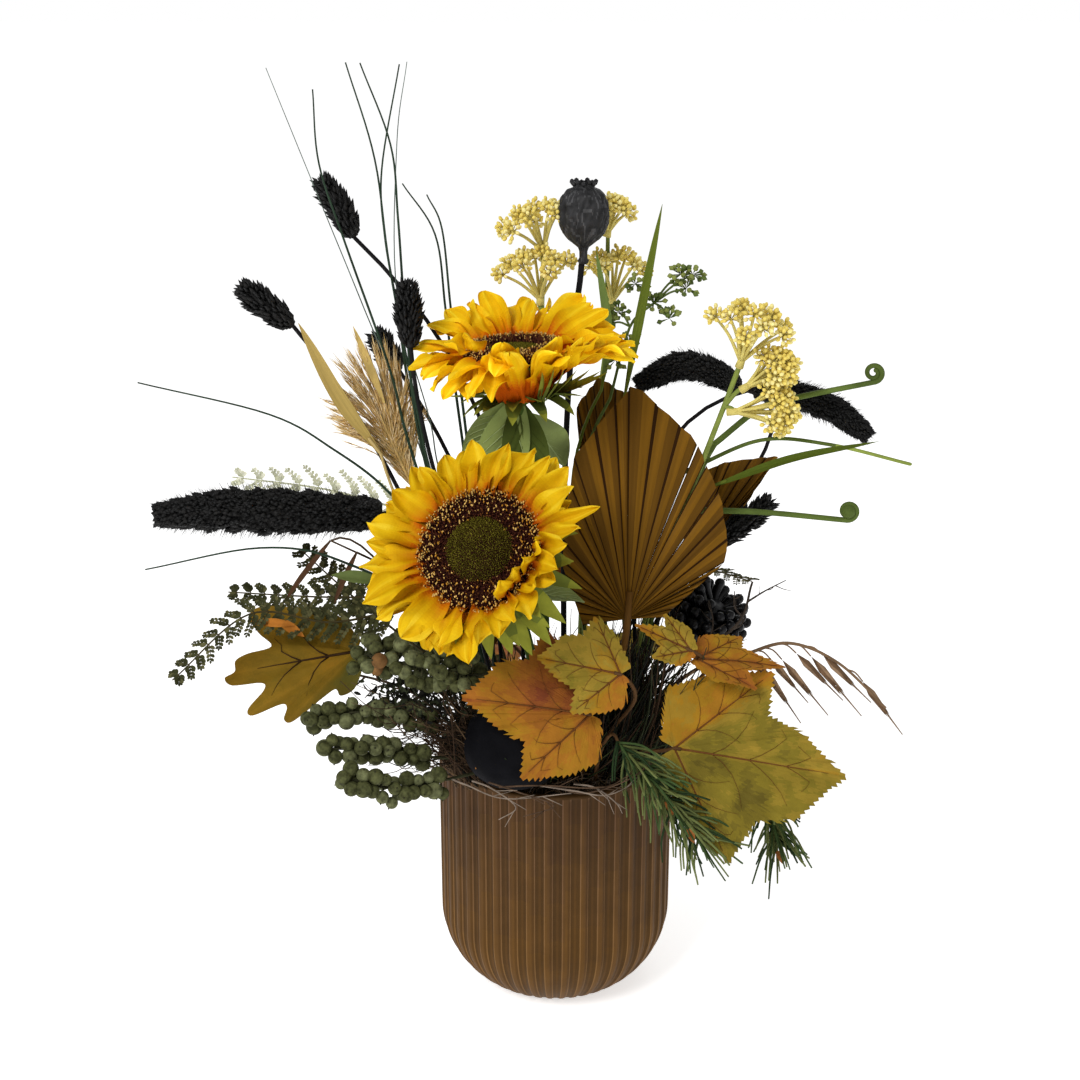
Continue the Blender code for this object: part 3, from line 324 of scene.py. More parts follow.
def leaflets(heap, roots, tips, widths, faces_to, finish=0):
    """Many small leaves, each of two halves folded up a little along its midrib."""
    roots, tips, up = rows_of(roots), rows_of(tips), rows_of(faces_to)
    along = tips - roots
    across = unit(np.cross(up, along), NOTHING)
    half = 0.5 * column_of(widths, len(roots))
    rise = 0.5 * half * up / (np.linalg.norm(up, axis=1, keepdims=True) + NOTHING)
    points = [roots]
    for side in (1, -1):
        for share, breadth, lift in ((0.25, 0.75, 1), (0.60, 1, 1), (0.88, 0.6, 0.6)):
            points.append(roots + share * along + side * breadth * half * across + lift * rise)
    points += [tips, roots + 0.5 * along]
    heap.copies(np.stack(points, axis=1), ((0, 1, 2, 8), (8, 2, 3, 7), (0, 8, 5, 4), (8, 7, 6, 5)), finish)


def ball_shape(detail):
    bm = bmesh.new()
    bmesh.ops.create_icosphere(bm, subdivisions=detail, radius=1)
    points = np.array([vertex.co[:] for vertex in bm.verts])
    faces = np.array([[vertex.index for vertex in face.verts] for face in bm.faces])
    bm.free()
    return points, faces


BALLS = {detail: ball_shape(detail) for detail in (1, 2, 3)}


def balls(heap, centres, radii, finish=0, detail=1, stretch=None):
    """Many balls; stretch gives each a direction times how much longer it is that way."""
    ball, face = BALLS[detail]
    centres = rows_of(centres)
    shape = np.broadcast_to(ball, (len(centres), *ball.shape))
    if stretch is not None:
        pull = rows_of(stretch)
        length = np.linalg.norm(pull, axis=1, keepdims=True)
        heading = (pull / length)[:, None, :]
        shape = shape + heading * (shape * heading).sum(axis=2, keepdims=True) * (length - 1)[:, None, :]
    heap.copies(centres[:, None] + column_of(radii, len(centres))[:, None] * shape, face, finish)


def placed(matrix, x, y, z):
    """Grid coordinates in a matrix's frame, as points in the world."""
    local = np.stack(np.broadcast_arrays(x, y, z), axis=-1).reshape(-1, 3)
    turn = np.array(matrix.to_3x3())
    return local @ turn.T + np.array(matrix.translation)


def revolved(heap, radii, heights, angles, matrix=Matrix(), finish=0):
    """A surface all round +Z, from rows of radii and heights at the angles of one turn."""
    heap.add(placed(matrix, radii * np.cos(angles), radii * np.sin(angles), heights),
             grid_faces(len(radii) - 1, angles.size, closed=True)[:, ::-1], finish)


def full_turn(sides):
    return np.linspace(0, math.tau, sides, endpoint=False)[None]


def turned(heap, profile, sides, matrix=Matrix(), finish=0, swell=lambda angles, share: 1):
    """A turned shape from (radius, height) pairs; swell(angles, share) scales its radius."""
    radii, heights = (np.array(part)[:, None] for part in zip(*profile))
    angles = full_turn(sides)
    share = np.linspace(0, 1, len(profile))[:, None]
    revolved(heap, radii * swell(angles, share) + 0 * angles, heights, angles, matrix, finish)


# ---------------------------------------------------------------- finishes


def finish(name, colour, roughness=0.7, vary=0.18, grain=90, bump=0.25, bump_grain=400, sheen=0.0,
           streaks=None, specular=0.05):
    """A finish whose colour wanders between two tints, with a fine relief.

    streaks = (across, along) draws the tints along a piece's own direction; otherwise grain sets their scale.
    """
    made = bpy.data.materials.new(name)
    made.use_nodes = True
    nodes, links = made.node_tree.nodes, made.node_tree.links
    shader = nodes["Principled BSDF"]
    values = (("Roughness", roughness), ("Specular IOR Level", specular), ("Sheen Weight", sheen))
    for socket, value in values:
        shader.inputs[socket].default_value = value
    source = nodes.new("ShaderNodeTexCoord").outputs["UV" if streaks else "Object"]
    if streaks:
        stretch = nodes.new("ShaderNodeMapping")
        stretch.inputs["Scale"].default_value = (streaks[1], streaks[0], 1)
        links.new(source, stretch.inputs["Vector"])
        source = stretch.outputs["Vector"]

    def cloud(scale, detail):
        haze = nodes.new("ShaderNodeTexNoise")
        haze.inputs["Scale"].default_value = scale
        haze.inputs["Detail"].default_value = detail
        links.new(source, haze.inputs["Vector"])
        return haze.outputs["Fac"]

    ramp = nodes.new("ShaderNodeValToRGB")
    for stop, place, light in zip(ramp.color_ramp.elements, TINT_STOPS, (1 - vary, 1 + vary)):
        stop.position = place
        stop.color = (*(min(1, channel * light) for channel in colour), 1)
    links.new(cloud(1 if streaks else grain, 4), ramp.inputs["Fac"])
    links.new(ramp.outputs["Color"], shader.inputs["Base Color"])
    if bump:
        lift = nodes.new("ShaderNodeBump")
        lift.inputs["Strength"].default_value = bump
        lift.inputs["Distance"].default_value = RELIEF
        links.new(cloud(2 if streaks else bump_grain, 3), lift.inputs["Height"])
        links.new(lift.outputs["Normal"], shader.inputs["Normal"])
    return made


def finishes(*kinds, **shared):
    return [finish(*kind, **shared) for kind in kinds]


# ---------------------------------------------------------------- pot and its filling


POT_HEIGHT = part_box("pot")[1][2]
POT_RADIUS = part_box("pot")[1][0]
POT_FOOT_RADIUS = 45 * MM
POT_BEND_RADIUS = 58 * MM
POT_WALL = 5 * MM
POT_LIP = 1.5 * MM
RIBS = 42
RIB_DEPTH = 1.6 * MM
RIB_STEPS = 16
RIB_LIGHT_AND_SHADE = (2, 2, 1, 1, 3, 0, 0, 0, 1, 1, 0, 0, 0, 3, 2, 2)    # finishes across one flute: painted light on the crest, painted shade in the groove, a painted highlight on each flank
FILLING_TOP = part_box("filling")[1][2]
POT_BANDS = ((0.72, 0.70, 0.88), (0.80, 0.78, 0.86), (0.87, 0.84, 0.82), (0.94, 0.90, 0.78),
             (1.0, 0.95, 0.74))
# The tints of one flute: painted shade in the groove, painted light on the crest and a pale painted highlight
# for the edge.
POT_LIT_AND_SHADED_TONES = {"groove": (0.074, 0.036, 0.0085), "flank": (0.094, 0.045, 0.0110),
             "crest": (0.112, 0.054, 0.0135), "edge": (0.185, 0.098, 0.038)}


def pot():
    """The pot: broad upright flutes run from its lip down round the bend to its foot."""
    centre_radius = POT_RADIUS - POT_BEND_RADIUS
    centre_height = math.sqrt(POT_BEND_RADIUS ** 2 - (POT_FOOT_RADIUS - centre_radius) ** 2)
    last = math.asin(centre_height / POT_BEND_RADIUS)
    bow = [(centre_radius + POT_BEND_RADIUS * math.cos(last * step / 24),
            centre_height - POT_BEND_RADIUS * math.sin(last * step / 24)) for step in range(25)]
    inner = POT_RADIUS - POT_WALL
    lip = [(inner + POT_LIP * (1 - math.cos(math.pi * step / 8)) * 0.5 * (POT_WALL / POT_LIP),
            POT_HEIGHT - POT_LIP * (1 - math.sin(math.pi * step / 8))) for step in range(9)]
    wall = [(POT_RADIUS, POT_HEIGHT - POT_LIP - (POT_HEIGHT - POT_LIP - centre_height) * share)
            for share in (0.008, 0.016, 0.024, *(step / 12 for step in range(1, 12)))]
    profile = [(inner, centre_height), (inner, POT_HEIGHT - 2 * POT_LIP), *lip, *wall, *bow, (0.0, 0.0)]
    radii, heights = (np.array(part)[:, None] for part in zip(*profile))
    sides = np.arange(RIBS * RIB_STEPS)
    angles = full_turn(len(sides))
    ridge = 0.5 + 0.5 * np.tanh(2.2 * np.cos(RIBS * angles)) / math.tanh(2.2)
    outside = (np.arange(len(profile)) > 1 + len(lip))[:, None]
    fluted = outside * (radii > 0.5 * POT_FOOT_RADIUS)
    fade = np.clip((POT_HEIGHT - POT_LIP - heights) / (2 * MM), 0, 1) * fluted
    radii = radii - RIB_DEPTH * (1 - ridge) * fade * np.clip(radii / POT_RADIUS, 0, 1)
    wander = 0.6 * np.sin(2.4 * (sides // RIB_STEPS))[None]
    band = np.clip((6 * (1 - heights[:-1] / POT_HEIGHT) + wander).astype(int), 0, 4)
    # Each flute's faces take painted shade in the groove, painted light on the crest and painted highlights
    # on the flanks.
    tones = np.where(outside[:-1], np.array(RIB_LIGHT_AND_SHADE)[sides % RIB_STEPS][None] + 4 * band, 4)
    heap = Heap()
    revolved(heap, radii, heights, angles, finish=tones.ravel())
    made = [finish(f"pot_{part}_{number}", tuple(a * b for a, b in zip(colour, light)),
                   0.6, 0.10, 60, 0.2, 260, specular=0.10)
            for number, light in enumerate(POT_BANDS) for part, colour in POT_LIT_AND_SHADED_TONES.items()]
    piece("pot_body", heap, made, "pot")


def filling():
    """Moss and fibre over the foam: a lumpy bed, with short strands that lie over each other."""
    chance = random.Random("moss")
    heap = Heap()
    rim = POT_RADIUS - POT_WALL - 0.7 * MM
    shares, angles = np.linspace(0, 1, 17)[:, None], full_turn(64)
    x, y = rim * shares * np.cos(angles), rim * shares * np.sin(angles)
    lumps = np.reshape([noise.noise(Vector((*spot, 0)) * 120) for spot in zip(x.flat, y.flat)], x.shape)
    z = FILLING_TOP - 7 * MM * np.clip((shares - 0.85) / 0.15, 0, 1) + 2.0 * MM * lumps - 1.0 * MM
    revolved(heap, rim * shares, z, angles)
    turned(heap, [(rim, FILLING_TOP - 8 * MM), (rim, 0.5 * POT_HEIGHT), (0.0, 0.5 * POT_HEIGHT)], 64)
    for _ in range(1500):
        radius = rim * math.sqrt(chance.random()) * 0.99
        place = ring(chance.uniform(0, math.tau), radius) + (FILLING_TOP - 1 * MM) * UP
        across = ring(chance.uniform(0, math.tau))
        length = chance.uniform(10, 26) * MM
        sideways = UP.cross(across) * chance.uniform(-0.5, 0.5)
        hump = chance.uniform(1.0, 6.5) * MM
        path = []
        for step in range(6):
            t = step / 5
            spot = place + across * length * (t - 0.5) + sideways * length * t * (1 - t)
            inside = min(1.0, (rim - 1 * MM) / max(spot.xy.length, 1e-6))
            spot.x *= inside
            spot.y *= inside
            spot.z += hump * math.sin(math.pi * t) - 5 * MM * max(0.0, spot.xy.length / rim - 0.86) / 0.14
            path.append(spot)
        stem(heap, path, chance.uniform(0.25, 0.6) * MM, 0.5, 3, chance.choice((1, 1, 2, 3)))
    piece("filling_moss", heap, finishes(("moss_bed", (0.035, 0.022, 0.012), 0.95, 0.4, 160, 0.8, 500),
                                         ("moss_dark", (0.060, 0.036, 0.020), 0.9),
                                         ("moss_tan", (0.17, 0.115, 0.07), 0.9),
                                         ("moss_grey", (0.24, 0.19, 0.15), 0.9)), "filling")


TWIG_RUNS = (((-62, -84, 176), (-52, -102, 181), (-30, -107, 175), (8, -110, 180)),
             ((-40, -92, 178), (-22, -107, 179), (-2, -110, 172), (-20, -112, 166)),
             ((-10, -96, 178), (10, -107, 180), (30, -106, 177), (52, -92, 182)),
             ((-34, -96, 177), (-8, -106, 183), (26, -105, 181), (44, -96, 186)),
             ((10, -92, 177), (22, -105, 181), (34, -106, 172), (38, -106, 165)),
             ((0, -94, 176), (16, -106, 178), (40, -102, 184), (60, -88, 192)),
             ((-50, -88, 177), (-38, -104, 180), (-24, -108, 170), (-34, -110, 163)))


def rim_twigs():
    """Bare twigs that lie over the pot's front rim."""
    twigs = Heap()
    for number, run in enumerate(TWIG_RUNS):
        line = smooth(places(run), 6)
        stem(twigs, line, 0.6 * MM, 0.45, 5, number % 2)
        for share in (0.45, 0.62, 0.8):
            spot, heading = station(line, share)
            tip = spot + (heading + 0.6 * around(heading, 2.1 * number + 9 * share)).normalized() * 13 * MM
            stem(twigs, [spot, tip], 0.36 * MM, 0.5, 4, number % 2)
    piece("filling_twigs", twigs, finishes(("twig_grey", (0.23, 0.18, 0.14), 0.8, 0.3, 120, 0.4, 500),
                                           ("twig_brown", (0.085, 0.052, 0.032), 0.8, 0.3, 120, 0.4, 500)),
          "filling")


def brush():
    """Dark fibres and scraps of leaf that stand out of the filling, most of them at the left and right."""
    chance = random.Random("brush")
    heap = Heap()
    for _ in range(420):
        angle = chance.uniform(0, math.tau)
        root = ring(angle, 52 * MM * math.sqrt(chance.random())) + (FILLING_TOP - 3 * MM) * UP
        way = UP + ring(angle) * chance.uniform(0.0, 1.1) + stray(chance) * 0.5
        length = chance.uniform(30, 78) * MM
        tip = root + way.normalized() * length
        bow = root.lerp(tip, 0.5) + stray(chance) * 0.1 * length
        stem(heap, smooth([root, bow, tip], 4), chance.uniform(0.35, 0.75) * MM, 0.4, 4,
             chance.choice((0, 0, 1, 1, 2, 3)))
    piece("filling_brush", heap, finishes(
        ("brush_green", (0.024, 0.036, 0.014), 0.7), ("brush_brown", (0.040, 0.024, 0.014), 0.8),
        ("brush_tan", (0.085, 0.055, 0.030), 0.8), ("brush_moss", (0.050, 0.062, 0.022), 0.8)),
        "filling")
    wild = Heap()
    for _ in range(260):
        root = at(chance.uniform(-62, -18), chance.uniform(-62, -20), 158)
        tip = at(chance.uniform(-132, -58), chance.uniform(-84, -34), chance.uniform(178, 246))
        tip = root.lerp(tip, chance.uniform(0.5, 1.0))
        reach = (tip - root).length
        bow = root.lerp(tip, 0.45) + 0.16 * reach * UP + stray(chance) * 0.12 * reach
        kink = root.lerp(tip, 0.8) + stray(chance) * 0.10 * reach
        stem(wild, smooth([root, bow, kink, tip], 4), chance.uniform(0.22, 0.55) * MM, 0.4, 4,
             chance.choice((0, 1, 1, 1, 2)))
    for _ in range(420):
        root = at(chance.uniform(14, 58), chance.uniform(-50, 24), 158)
        tip = root + at(chance.uniform(-8, 40), chance.uniform(-14, 14), chance.uniform(34, 94))
        bow = root.lerp(tip, 0.5) + stray(chance) * 7 * MM
        stem(wild, smooth([root, bow, tip], 4), chance.uniform(0.4, 0.9) * MM, 0.5, 4,
             chance.choice((0, 0, 1, 3)))
    scraps = []
    for _ in range(420):
        spot = at(chance.gauss(-84, 16), chance.uniform(-66, -40), chance.gauss(216, 10))
        way = around(FRONT, chance.uniform(0, math.tau)) + FRONT * chance.uniform(-0.5, 0.5)
        scraps.append((spot, spot + way.normalized() * chance.uniform(3, 7) * MM,
                       chance.uniform(1.4, 2.6) * MM,
                       FRONT + UP * chance.uniform(-1, 1) + Vector((chance.uniform(-1, 1), 0, 0))))
    leaflets(wild, *zip(*scraps), [chance.choice((0, 3)) for _ in scraps])
    piece("filling_fibres", wild, finishes(
        ("fibre_black", (0.016, 0.016, 0.013), 0.8), ("fibre_brown", (0.050, 0.030, 0.018), 0.85),
        ("fibre_tan", (0.125, 0.080, 0.045), 0.85), ("fibre_green", (0.036, 0.042, 0.022), 0.8)),
        "filling")


# ---------------------------------------------------------------- petals and plain leaves


def sheet(heap, matrix, length, width, profile, rows, columns, finish=0, droop=0.0, curl=0.0, fold=0.0,
          crease=0.0, ruffle=0.0, twist=0.0, phase=0.0, creases=2.5, sway=0.0, crumple=0.0):
    """A petal or leaf along +X: profile(u) is its half width as a share; finish may be given for each row.

    droop bends it evenly and curl bends its tip, in radians, down for more than 0. fold raises its sides,
    crease draws fine folds along it, ruffle waves its edges, sway bends it sideways and crumple dents it.
    """
    u = np.linspace(0, 1, rows + 1)[:, None]
    v = np.linspace(-1, 1, columns + 1)[None]
    half = 0.5 * width * np.array([profile(share) for share in u[:, 0]])[:, None]
    slope = -(droop * u + curl * u ** 3)
    step = length / rows
    middle = 0.5 * (slope[1:] + slope[:-1])
    x = np.concatenate([[[0.0]], np.cumsum(np.cos(middle) * step, axis=0)])
    z = np.concatenate([[[0.0]], np.cumsum(np.sin(middle) * step, axis=0)])
    lift = (fold * half * np.abs(v) ** 1.3
            + crease * np.cos(math.pi * creases * v + phase) * (0.3 + u) * (1 - 0.6 * u)
            + ruffle * half * np.abs(v) ** 3 * np.sin(math.tau * (1.3 * u + phase) + 1.5 * v)
            + crumple * np.sqrt(u) * (np.sin(8 * u + phase) * np.cos(3.7 * v + 2 * phase)
                                      + 0.6 * np.sin(15 * u - 3 * phase + 4.3 * v)))
    turn = twist * u
    across = v * half
    y = across * np.cos(turn) - lift * np.sin(turn) + sway * length * u * u
    up = across * np.sin(turn) + lift * np.cos(turn)
    points = placed(matrix, x - up * np.sin(slope), y, z + up * np.cos(slope))
    uvs = np.stack(np.broadcast_arrays(u, 0.5 + 0.5 * v), axis=-1)
    faces = grid_faces(rows, columns)
    if np.ndim(finish) == 1:
        finish = np.repeat(np.asarray(finish), columns)
    elif np.ndim(finish) == 2:
        finish = np.asarray(finish).ravel()
    heap.add(points, faces, finish, uvs)
    return points.reshape(rows + 1, columns + 1, 3)


def petal_profile(u):
    """Half width of a petal: narrow at its root, broadest past its middle, drawn to a point."""
    if u < 0.56:
        return 0.36 + 0.64 * math.sin(0.5 * math.pi * u / 0.56)
    return max(0.02, 1 - ((u - 0.56) / 0.44) ** 1.9) ** 0.9


def round_petal_profile(u):
    """Half width of a petal with a blunt tip."""
    if u < 0.6:
        return 0.45 + 0.55 * math.sin(0.5 * math.pi * u / 0.6)
    return max(0.03, 1 - ((u - 0.6) / 0.4) ** 3.2) ** 0.6


def bract_profile(u):
    """Half width of a bract: broadest near its root, with a long point."""
    return math.sin(math.pi * (0.30 + 0.70 * u)) ** 0.9 + 0.02 if u < 1 else 0.02


def oval_profile(u):
    return math.sin(math.pi * (0.07 + 0.92 * u)) ** 0.8


def strap_profile(u):
    return min(1.0, 0.18 + 2.2 * u) * (1 - u ** 4) + 0.03


PETAL_ROWS = 22
PETAL_COLUMNS = 14
PETAL_KEYS = ((0.36, 0.060, 0.001), (0.47, 0.120, 0.001), (0.52, 0.205, 0.001), (0.54, 0.270, 0.001),
              (0.62, 0.350, 0.002), (0.69, 0.430, 0.005), (0.78, 0.540, 0.022))
PETAL_TINTS = 19


def between(keys, number):
    """So many tints spread evenly over the given ones."""
    made = []
    for index in range(number):
        spot = index / (number - 1) * (len(keys) - 1)
        low = min(int(spot), len(keys) - 2)
        made.append(tuple(a + (b - a) * (spot - low) for a, b in zip(keys[low], keys[low + 1])))
    return made


def tinted(name, tints, vary, grain, bump, bump_grain):
    """A row of finishes, one for each tint."""
    return [finish(f"{name}_{number}", tint, 0.6, vary, grain, bump, bump_grain)
            for number, tint in enumerate(tints)]


@functools.cache
def petal_finishes(name="petal", glow=1.0):
    """From the glowing orange at a petal's root to the lemon yellow of its tip; glow lightens every tint as
    painted light.
    """
    tints = [tuple(min(1.0, glow * part) for part in tint) for tint in between(PETAL_KEYS, PETAL_TINTS)]
    return tinted(name, tints, 0.08, 70, 0.5, 500)


DISC_RADIUS = 36 * MM
DOME_SHARE = 0.52
FLORETS = 2300
HAIRS = 2600
DISC_SIDES = 40
DISC_UNDERSIDE = ((35.0, -4.0), (24.0, -12.0), (8.0, -19.0), (0.0, -19.0))


def flower_disc(seat, chance, dome=9.5):
    """A wide ring of dark florets with pale tips round a domed green middle of short fuzz."""
    heap = Heap()
    top = ((0.0, dome), (8.0, 0.95 * dome), (13.0, 0.8 * dome), (17.0, 0.55 * dome), (19.0, 0.38 * dome),
           (21.0, 3.2), (27.0, 4.0), (32.0, 2.6), (35.5, 0.0))
    turned(heap, [(r * MM, h * MM) for r, h in top + DISC_UNDERSIDE], DISC_SIDES, seat,
           np.repeat([0, 7], (len(top) * DISC_SIDES, (len(DISC_UNDERSIDE) - 1) * DISC_SIDES)))
    radii, heights = (np.array(part) * MM for part in zip(*top))

    def on_top(outward, radius, sunk):
        """A place on the disc, sunk a little into it."""
        return outward * radius + (float(np.interp(radius, radii, heights)) - sunk) * UP

    florets, knobs, fuzz = [], [], []
    for index in range(FLORETS):
        share = math.sqrt(DOME_SHARE ** 2 + (1 - DOME_SHARE ** 2) * (index + 0.5) / FLORETS)
        radius = share * DISC_RADIUS * chance.uniform(0.99, 1.01)
        outward = ring(index * GOLDEN_TURN + chance.uniform(-0.05, 0.05))
        root = on_top(outward, radius, 0.5 * MM)
        lean = 0.75 * (share - 0.74) + chance.uniform(-0.25, 0.25)
        side = UP.cross(outward) * chance.uniform(-0.3, 0.3)
        length = chance.uniform(2.6, 5.0) * MM
        tip = root + (UP + outward * lean + side).normalized() * length
        florets.append((seat @ root, seat @ tip, chance.uniform(0.34, 0.6) * MM, chance.choice((1, 1, 1, 2))))
    darts(heap, *zip(*florets), 4, 0.4)
    for _, tip, size, _ in florets:
        share = ((seat.inverted() @ tip).xy.length / DISC_RADIUS - DOME_SHARE) / (1 - DOME_SHARE)
        if chance.random() < 0.06 + 0.62 * max(0.0, min(1.0, share)) ** 1.3:
            size, kind = size * chance.uniform(0.55, 1.05), chance.choice((3, 3, 4))
            pull = Vector((chance.uniform(-1, 1), chance.uniform(-1, 1), 1.2)).normalized()
            knobs.append((tip, size, kind, pull * chance.uniform(1.0, 2.6)))
    centres, sizes, kinds, pulls = zip(*knobs)
    balls(heap, centres, sizes, kinds, 1, pulls)
    for index in range(HAIRS):
        radius = DOME_SHARE * DISC_RADIUS * math.sqrt((index + 0.5) / HAIRS)
        outward = ring(index * GOLDEN_TURN)
        root = on_top(outward, radius, 0.3 * MM)
        way = Vector((chance.uniform(-0.5, 0.5), chance.uniform(-0.5, 0.5), 1))
        way += outward * 0.8 * radius / DISC_RADIUS
        tip = root + way.normalized() * chance.uniform(1.4, 2.6) * MM
        fuzz.append((seat @ root, seat @ tip, 0.32 * MM, chance.choice((5, 5, 6))))
    darts(heap, *zip(*fuzz), 3, 0.3)
    return heap


@functools.cache
def disc_finishes():
    return finishes(("disc_base", (0.026, 0.007, 0.005), 0.95),
                    ("floret_maroon", (0.060, 0.016, 0.009), 0.8, 0.4, 300, 0),
                    ("floret_brown", (0.130, 0.045, 0.014), 0.8, 0.4, 300, 0),
                    ("floret_tip_tan", (0.66, 0.42, 0.12), 0.7, 0.3, 300, 0),
                    ("floret_tip_gold", (0.42, 0.190, 0.022), 0.7, 0.3, 300, 0),
                    ("fuzz_olive", (0.085, 0.070, 0.006), 0.95, 0.3, 200, 0),
                    ("fuzz_light", (0.175, 0.150, 0.018), 0.95, 0.3, 200, 0),
                    ("disc_calyx", (0.085, 0.110, 0.020), 0.65, 0.25, 60, 0.3, 500))


def beside(seat, angle, reach, drop, roll, lift):
    """The matrix of a petal or bract that grows outward from a seat, its root at a reach and a drop in mm."""
    return (seat @ Matrix.Rotation(angle, 4, "Z") @ Matrix.Translation((reach, 0, drop * MM))
            @ Matrix.Rotation(roll, 4, "X") @ Matrix.Rotation(-lift, 4, "Y"))


def petals_from(heap, seat, petals, chance, radius_share=0.82, width=17 * MM, profile=petal_profile,
                glow=0.0):
    """Petals round a disc: (degrees, reach in disc radii, lift, curl, shade, width share, drop in mm).

    glow sets them that many tints nearer to orange at their roots.
    """
    u = (np.arange(PETAL_ROWS)[:, None] + 0.5) / PETAL_ROWS
    v = (2 * np.arange(PETAL_COLUMNS)[None] + 1) / PETAL_COLUMNS - 1
    for degrees, reach, lift, curl, shade, breadth, *drop in petals:
        place = beside(seat, math.radians(degrees), radius_share * DISC_RADIUS, *(drop or [0]),
                       chance.uniform(-0.3, 0.3), lift)
        phase, creases = chance.uniform(0, math.tau), chance.uniform(1.1, 2.4)
        start = chance.uniform(-1.0, 2.0) - 3.0 * shade - glow
        top = chance.uniform(13.0, 15.5) - 1.2 * (shade > 1)
        body = start + (top - start) * np.clip((u - 0.10) / chance.uniform(0.38, 0.62), 0, 1) ** 0.75
        wave = math.pi * creases * v
        # Painted shade in the hollows of the folds and painted light on their ridges.
        fold_shading = 2.0 * np.cos(wave + phase) + 1.0 * np.cos(2.3 * wave + 2 * phase)
        # A painted highlight along the rims of the outer part and at the tip, and painted shade along the
        # rims of the root half, where petals overlap.
        rim = (2.0 * np.clip((np.abs(v) - 0.8) / 0.2, 0, 1) * u + 1.8 * np.clip((u - 0.85) / 0.15, 0, 1)
               - 4.0 * np.clip((np.abs(v) - 0.45) / 0.55, 0, 1) * np.clip(1 - 1.25 * u, 0, 1))
        tones = np.clip(np.round(body + fold_shading * (0.5 + 0.5 * u) + rim), 0, PETAL_TINTS - 1).astype(int)
        sheet(heap, place, (reach - radius_share) * DISC_RADIUS, width * breadth, profile, PETAL_ROWS,
              PETAL_COLUMNS, tones, droop=chance.uniform(-0.1, 0.5), curl=curl + chance.uniform(-0.3, 0.5),
              fold=chance.uniform(0.0, 0.5), crease=chance.uniform(0.7, 1.4) * MM,
              ruffle=chance.uniform(0.2, 0.75),
              twist=chance.uniform(-0.5, 0.5) * (1 + 2.2 * max(0, curl - 0.3)), phase=phase, creases=creases,
              sway=chance.uniform(-0.18, 0.18), crumple=chance.uniform(0.4, 1.1) * MM)


@functools.cache
def green_finishes():
    return finishes(("bract_green", (0.115, 0.135, 0.020), 0.65, 0.25, 60, 0.3, 500),
                    ("bract_dark", (0.060, 0.080, 0.014), 0.65, 0.25, 60, 0.3, 500),
                    ("stem_green", (0.070, 0.120, 0.022), 0.55, 0.2, 60),
                    ("leaf_cloth", (0.235, 0.290, 0.085), 0.75, 0.22, 45, 0.35, 900, 0.2),
                    ("leaf_vein", (0.40, 0.48, 0.20), 0.75, 0.1, 45, 0.2, 900),
                    ("bract_tip", (0.21, 0.22, 0.025), 0.65, 0.25, 60, 0.3, 500))


def bracts(heap, seat, count, chance, length, width, lift, first=0.0, drop=-7.0, radius_share=0.7):
    """A ring of green bracts under a flower head."""
    for index in range(count):
        angle = math.tau * (index + first) / count + chance.uniform(-0.12, 0.12)
        place = beside(seat, angle, radius_share * DISC_RADIUS, drop, chance.uniform(-0.3, 0.3),
                       lift - chance.uniform(-0.15, 0.15))
        shade = chance.choice((0, 0, 1))
        sheet(heap, place, length * chance.uniform(0.8, 1.15), width, bract_profile, 8, 4,
              [shade] * 5 + [0, 5, 5], droop=chance.uniform(0.0, 0.5), curl=chance.uniform(-0.2, 0.5),
              fold=0.35, ruffle=0.05, twist=chance.uniform(-0.4, 0.4))


def cloth_leaf(heap, root, direction, face, length, width, chance, finish=3, vein=4, droop=0.5):
    """A broad cloth leaf with a pale midrib and side veins that stand a little proud."""
    matrix = lay(root, Vector(direction), face)
    grid = sheet(heap, matrix, length, width, oval_profile, 16, 12, finish, droop=droop, fold=0.22,
                 ruffle=0.08, crease=0.3 * MM, phase=chance.uniform(0, 6))
    rise = (matrix.to_3x3() @ UP) * 0.25 * MM
    tube(heap, [Vector(spot) + rise for spot in grid[:-1, 6]], np.linspace(0.9, 0.3, 16) * MM, 4, vein)
    for row, sign in itertools.product(range(2, 13, 2), (1, -1)):
        run = [Vector(grid[min(16, row + step), 6 + sign * step]) + rise for step in range(6)]
        tube(heap, run, np.linspace(0.45, 0.15, 6) * MM, 3, vein)


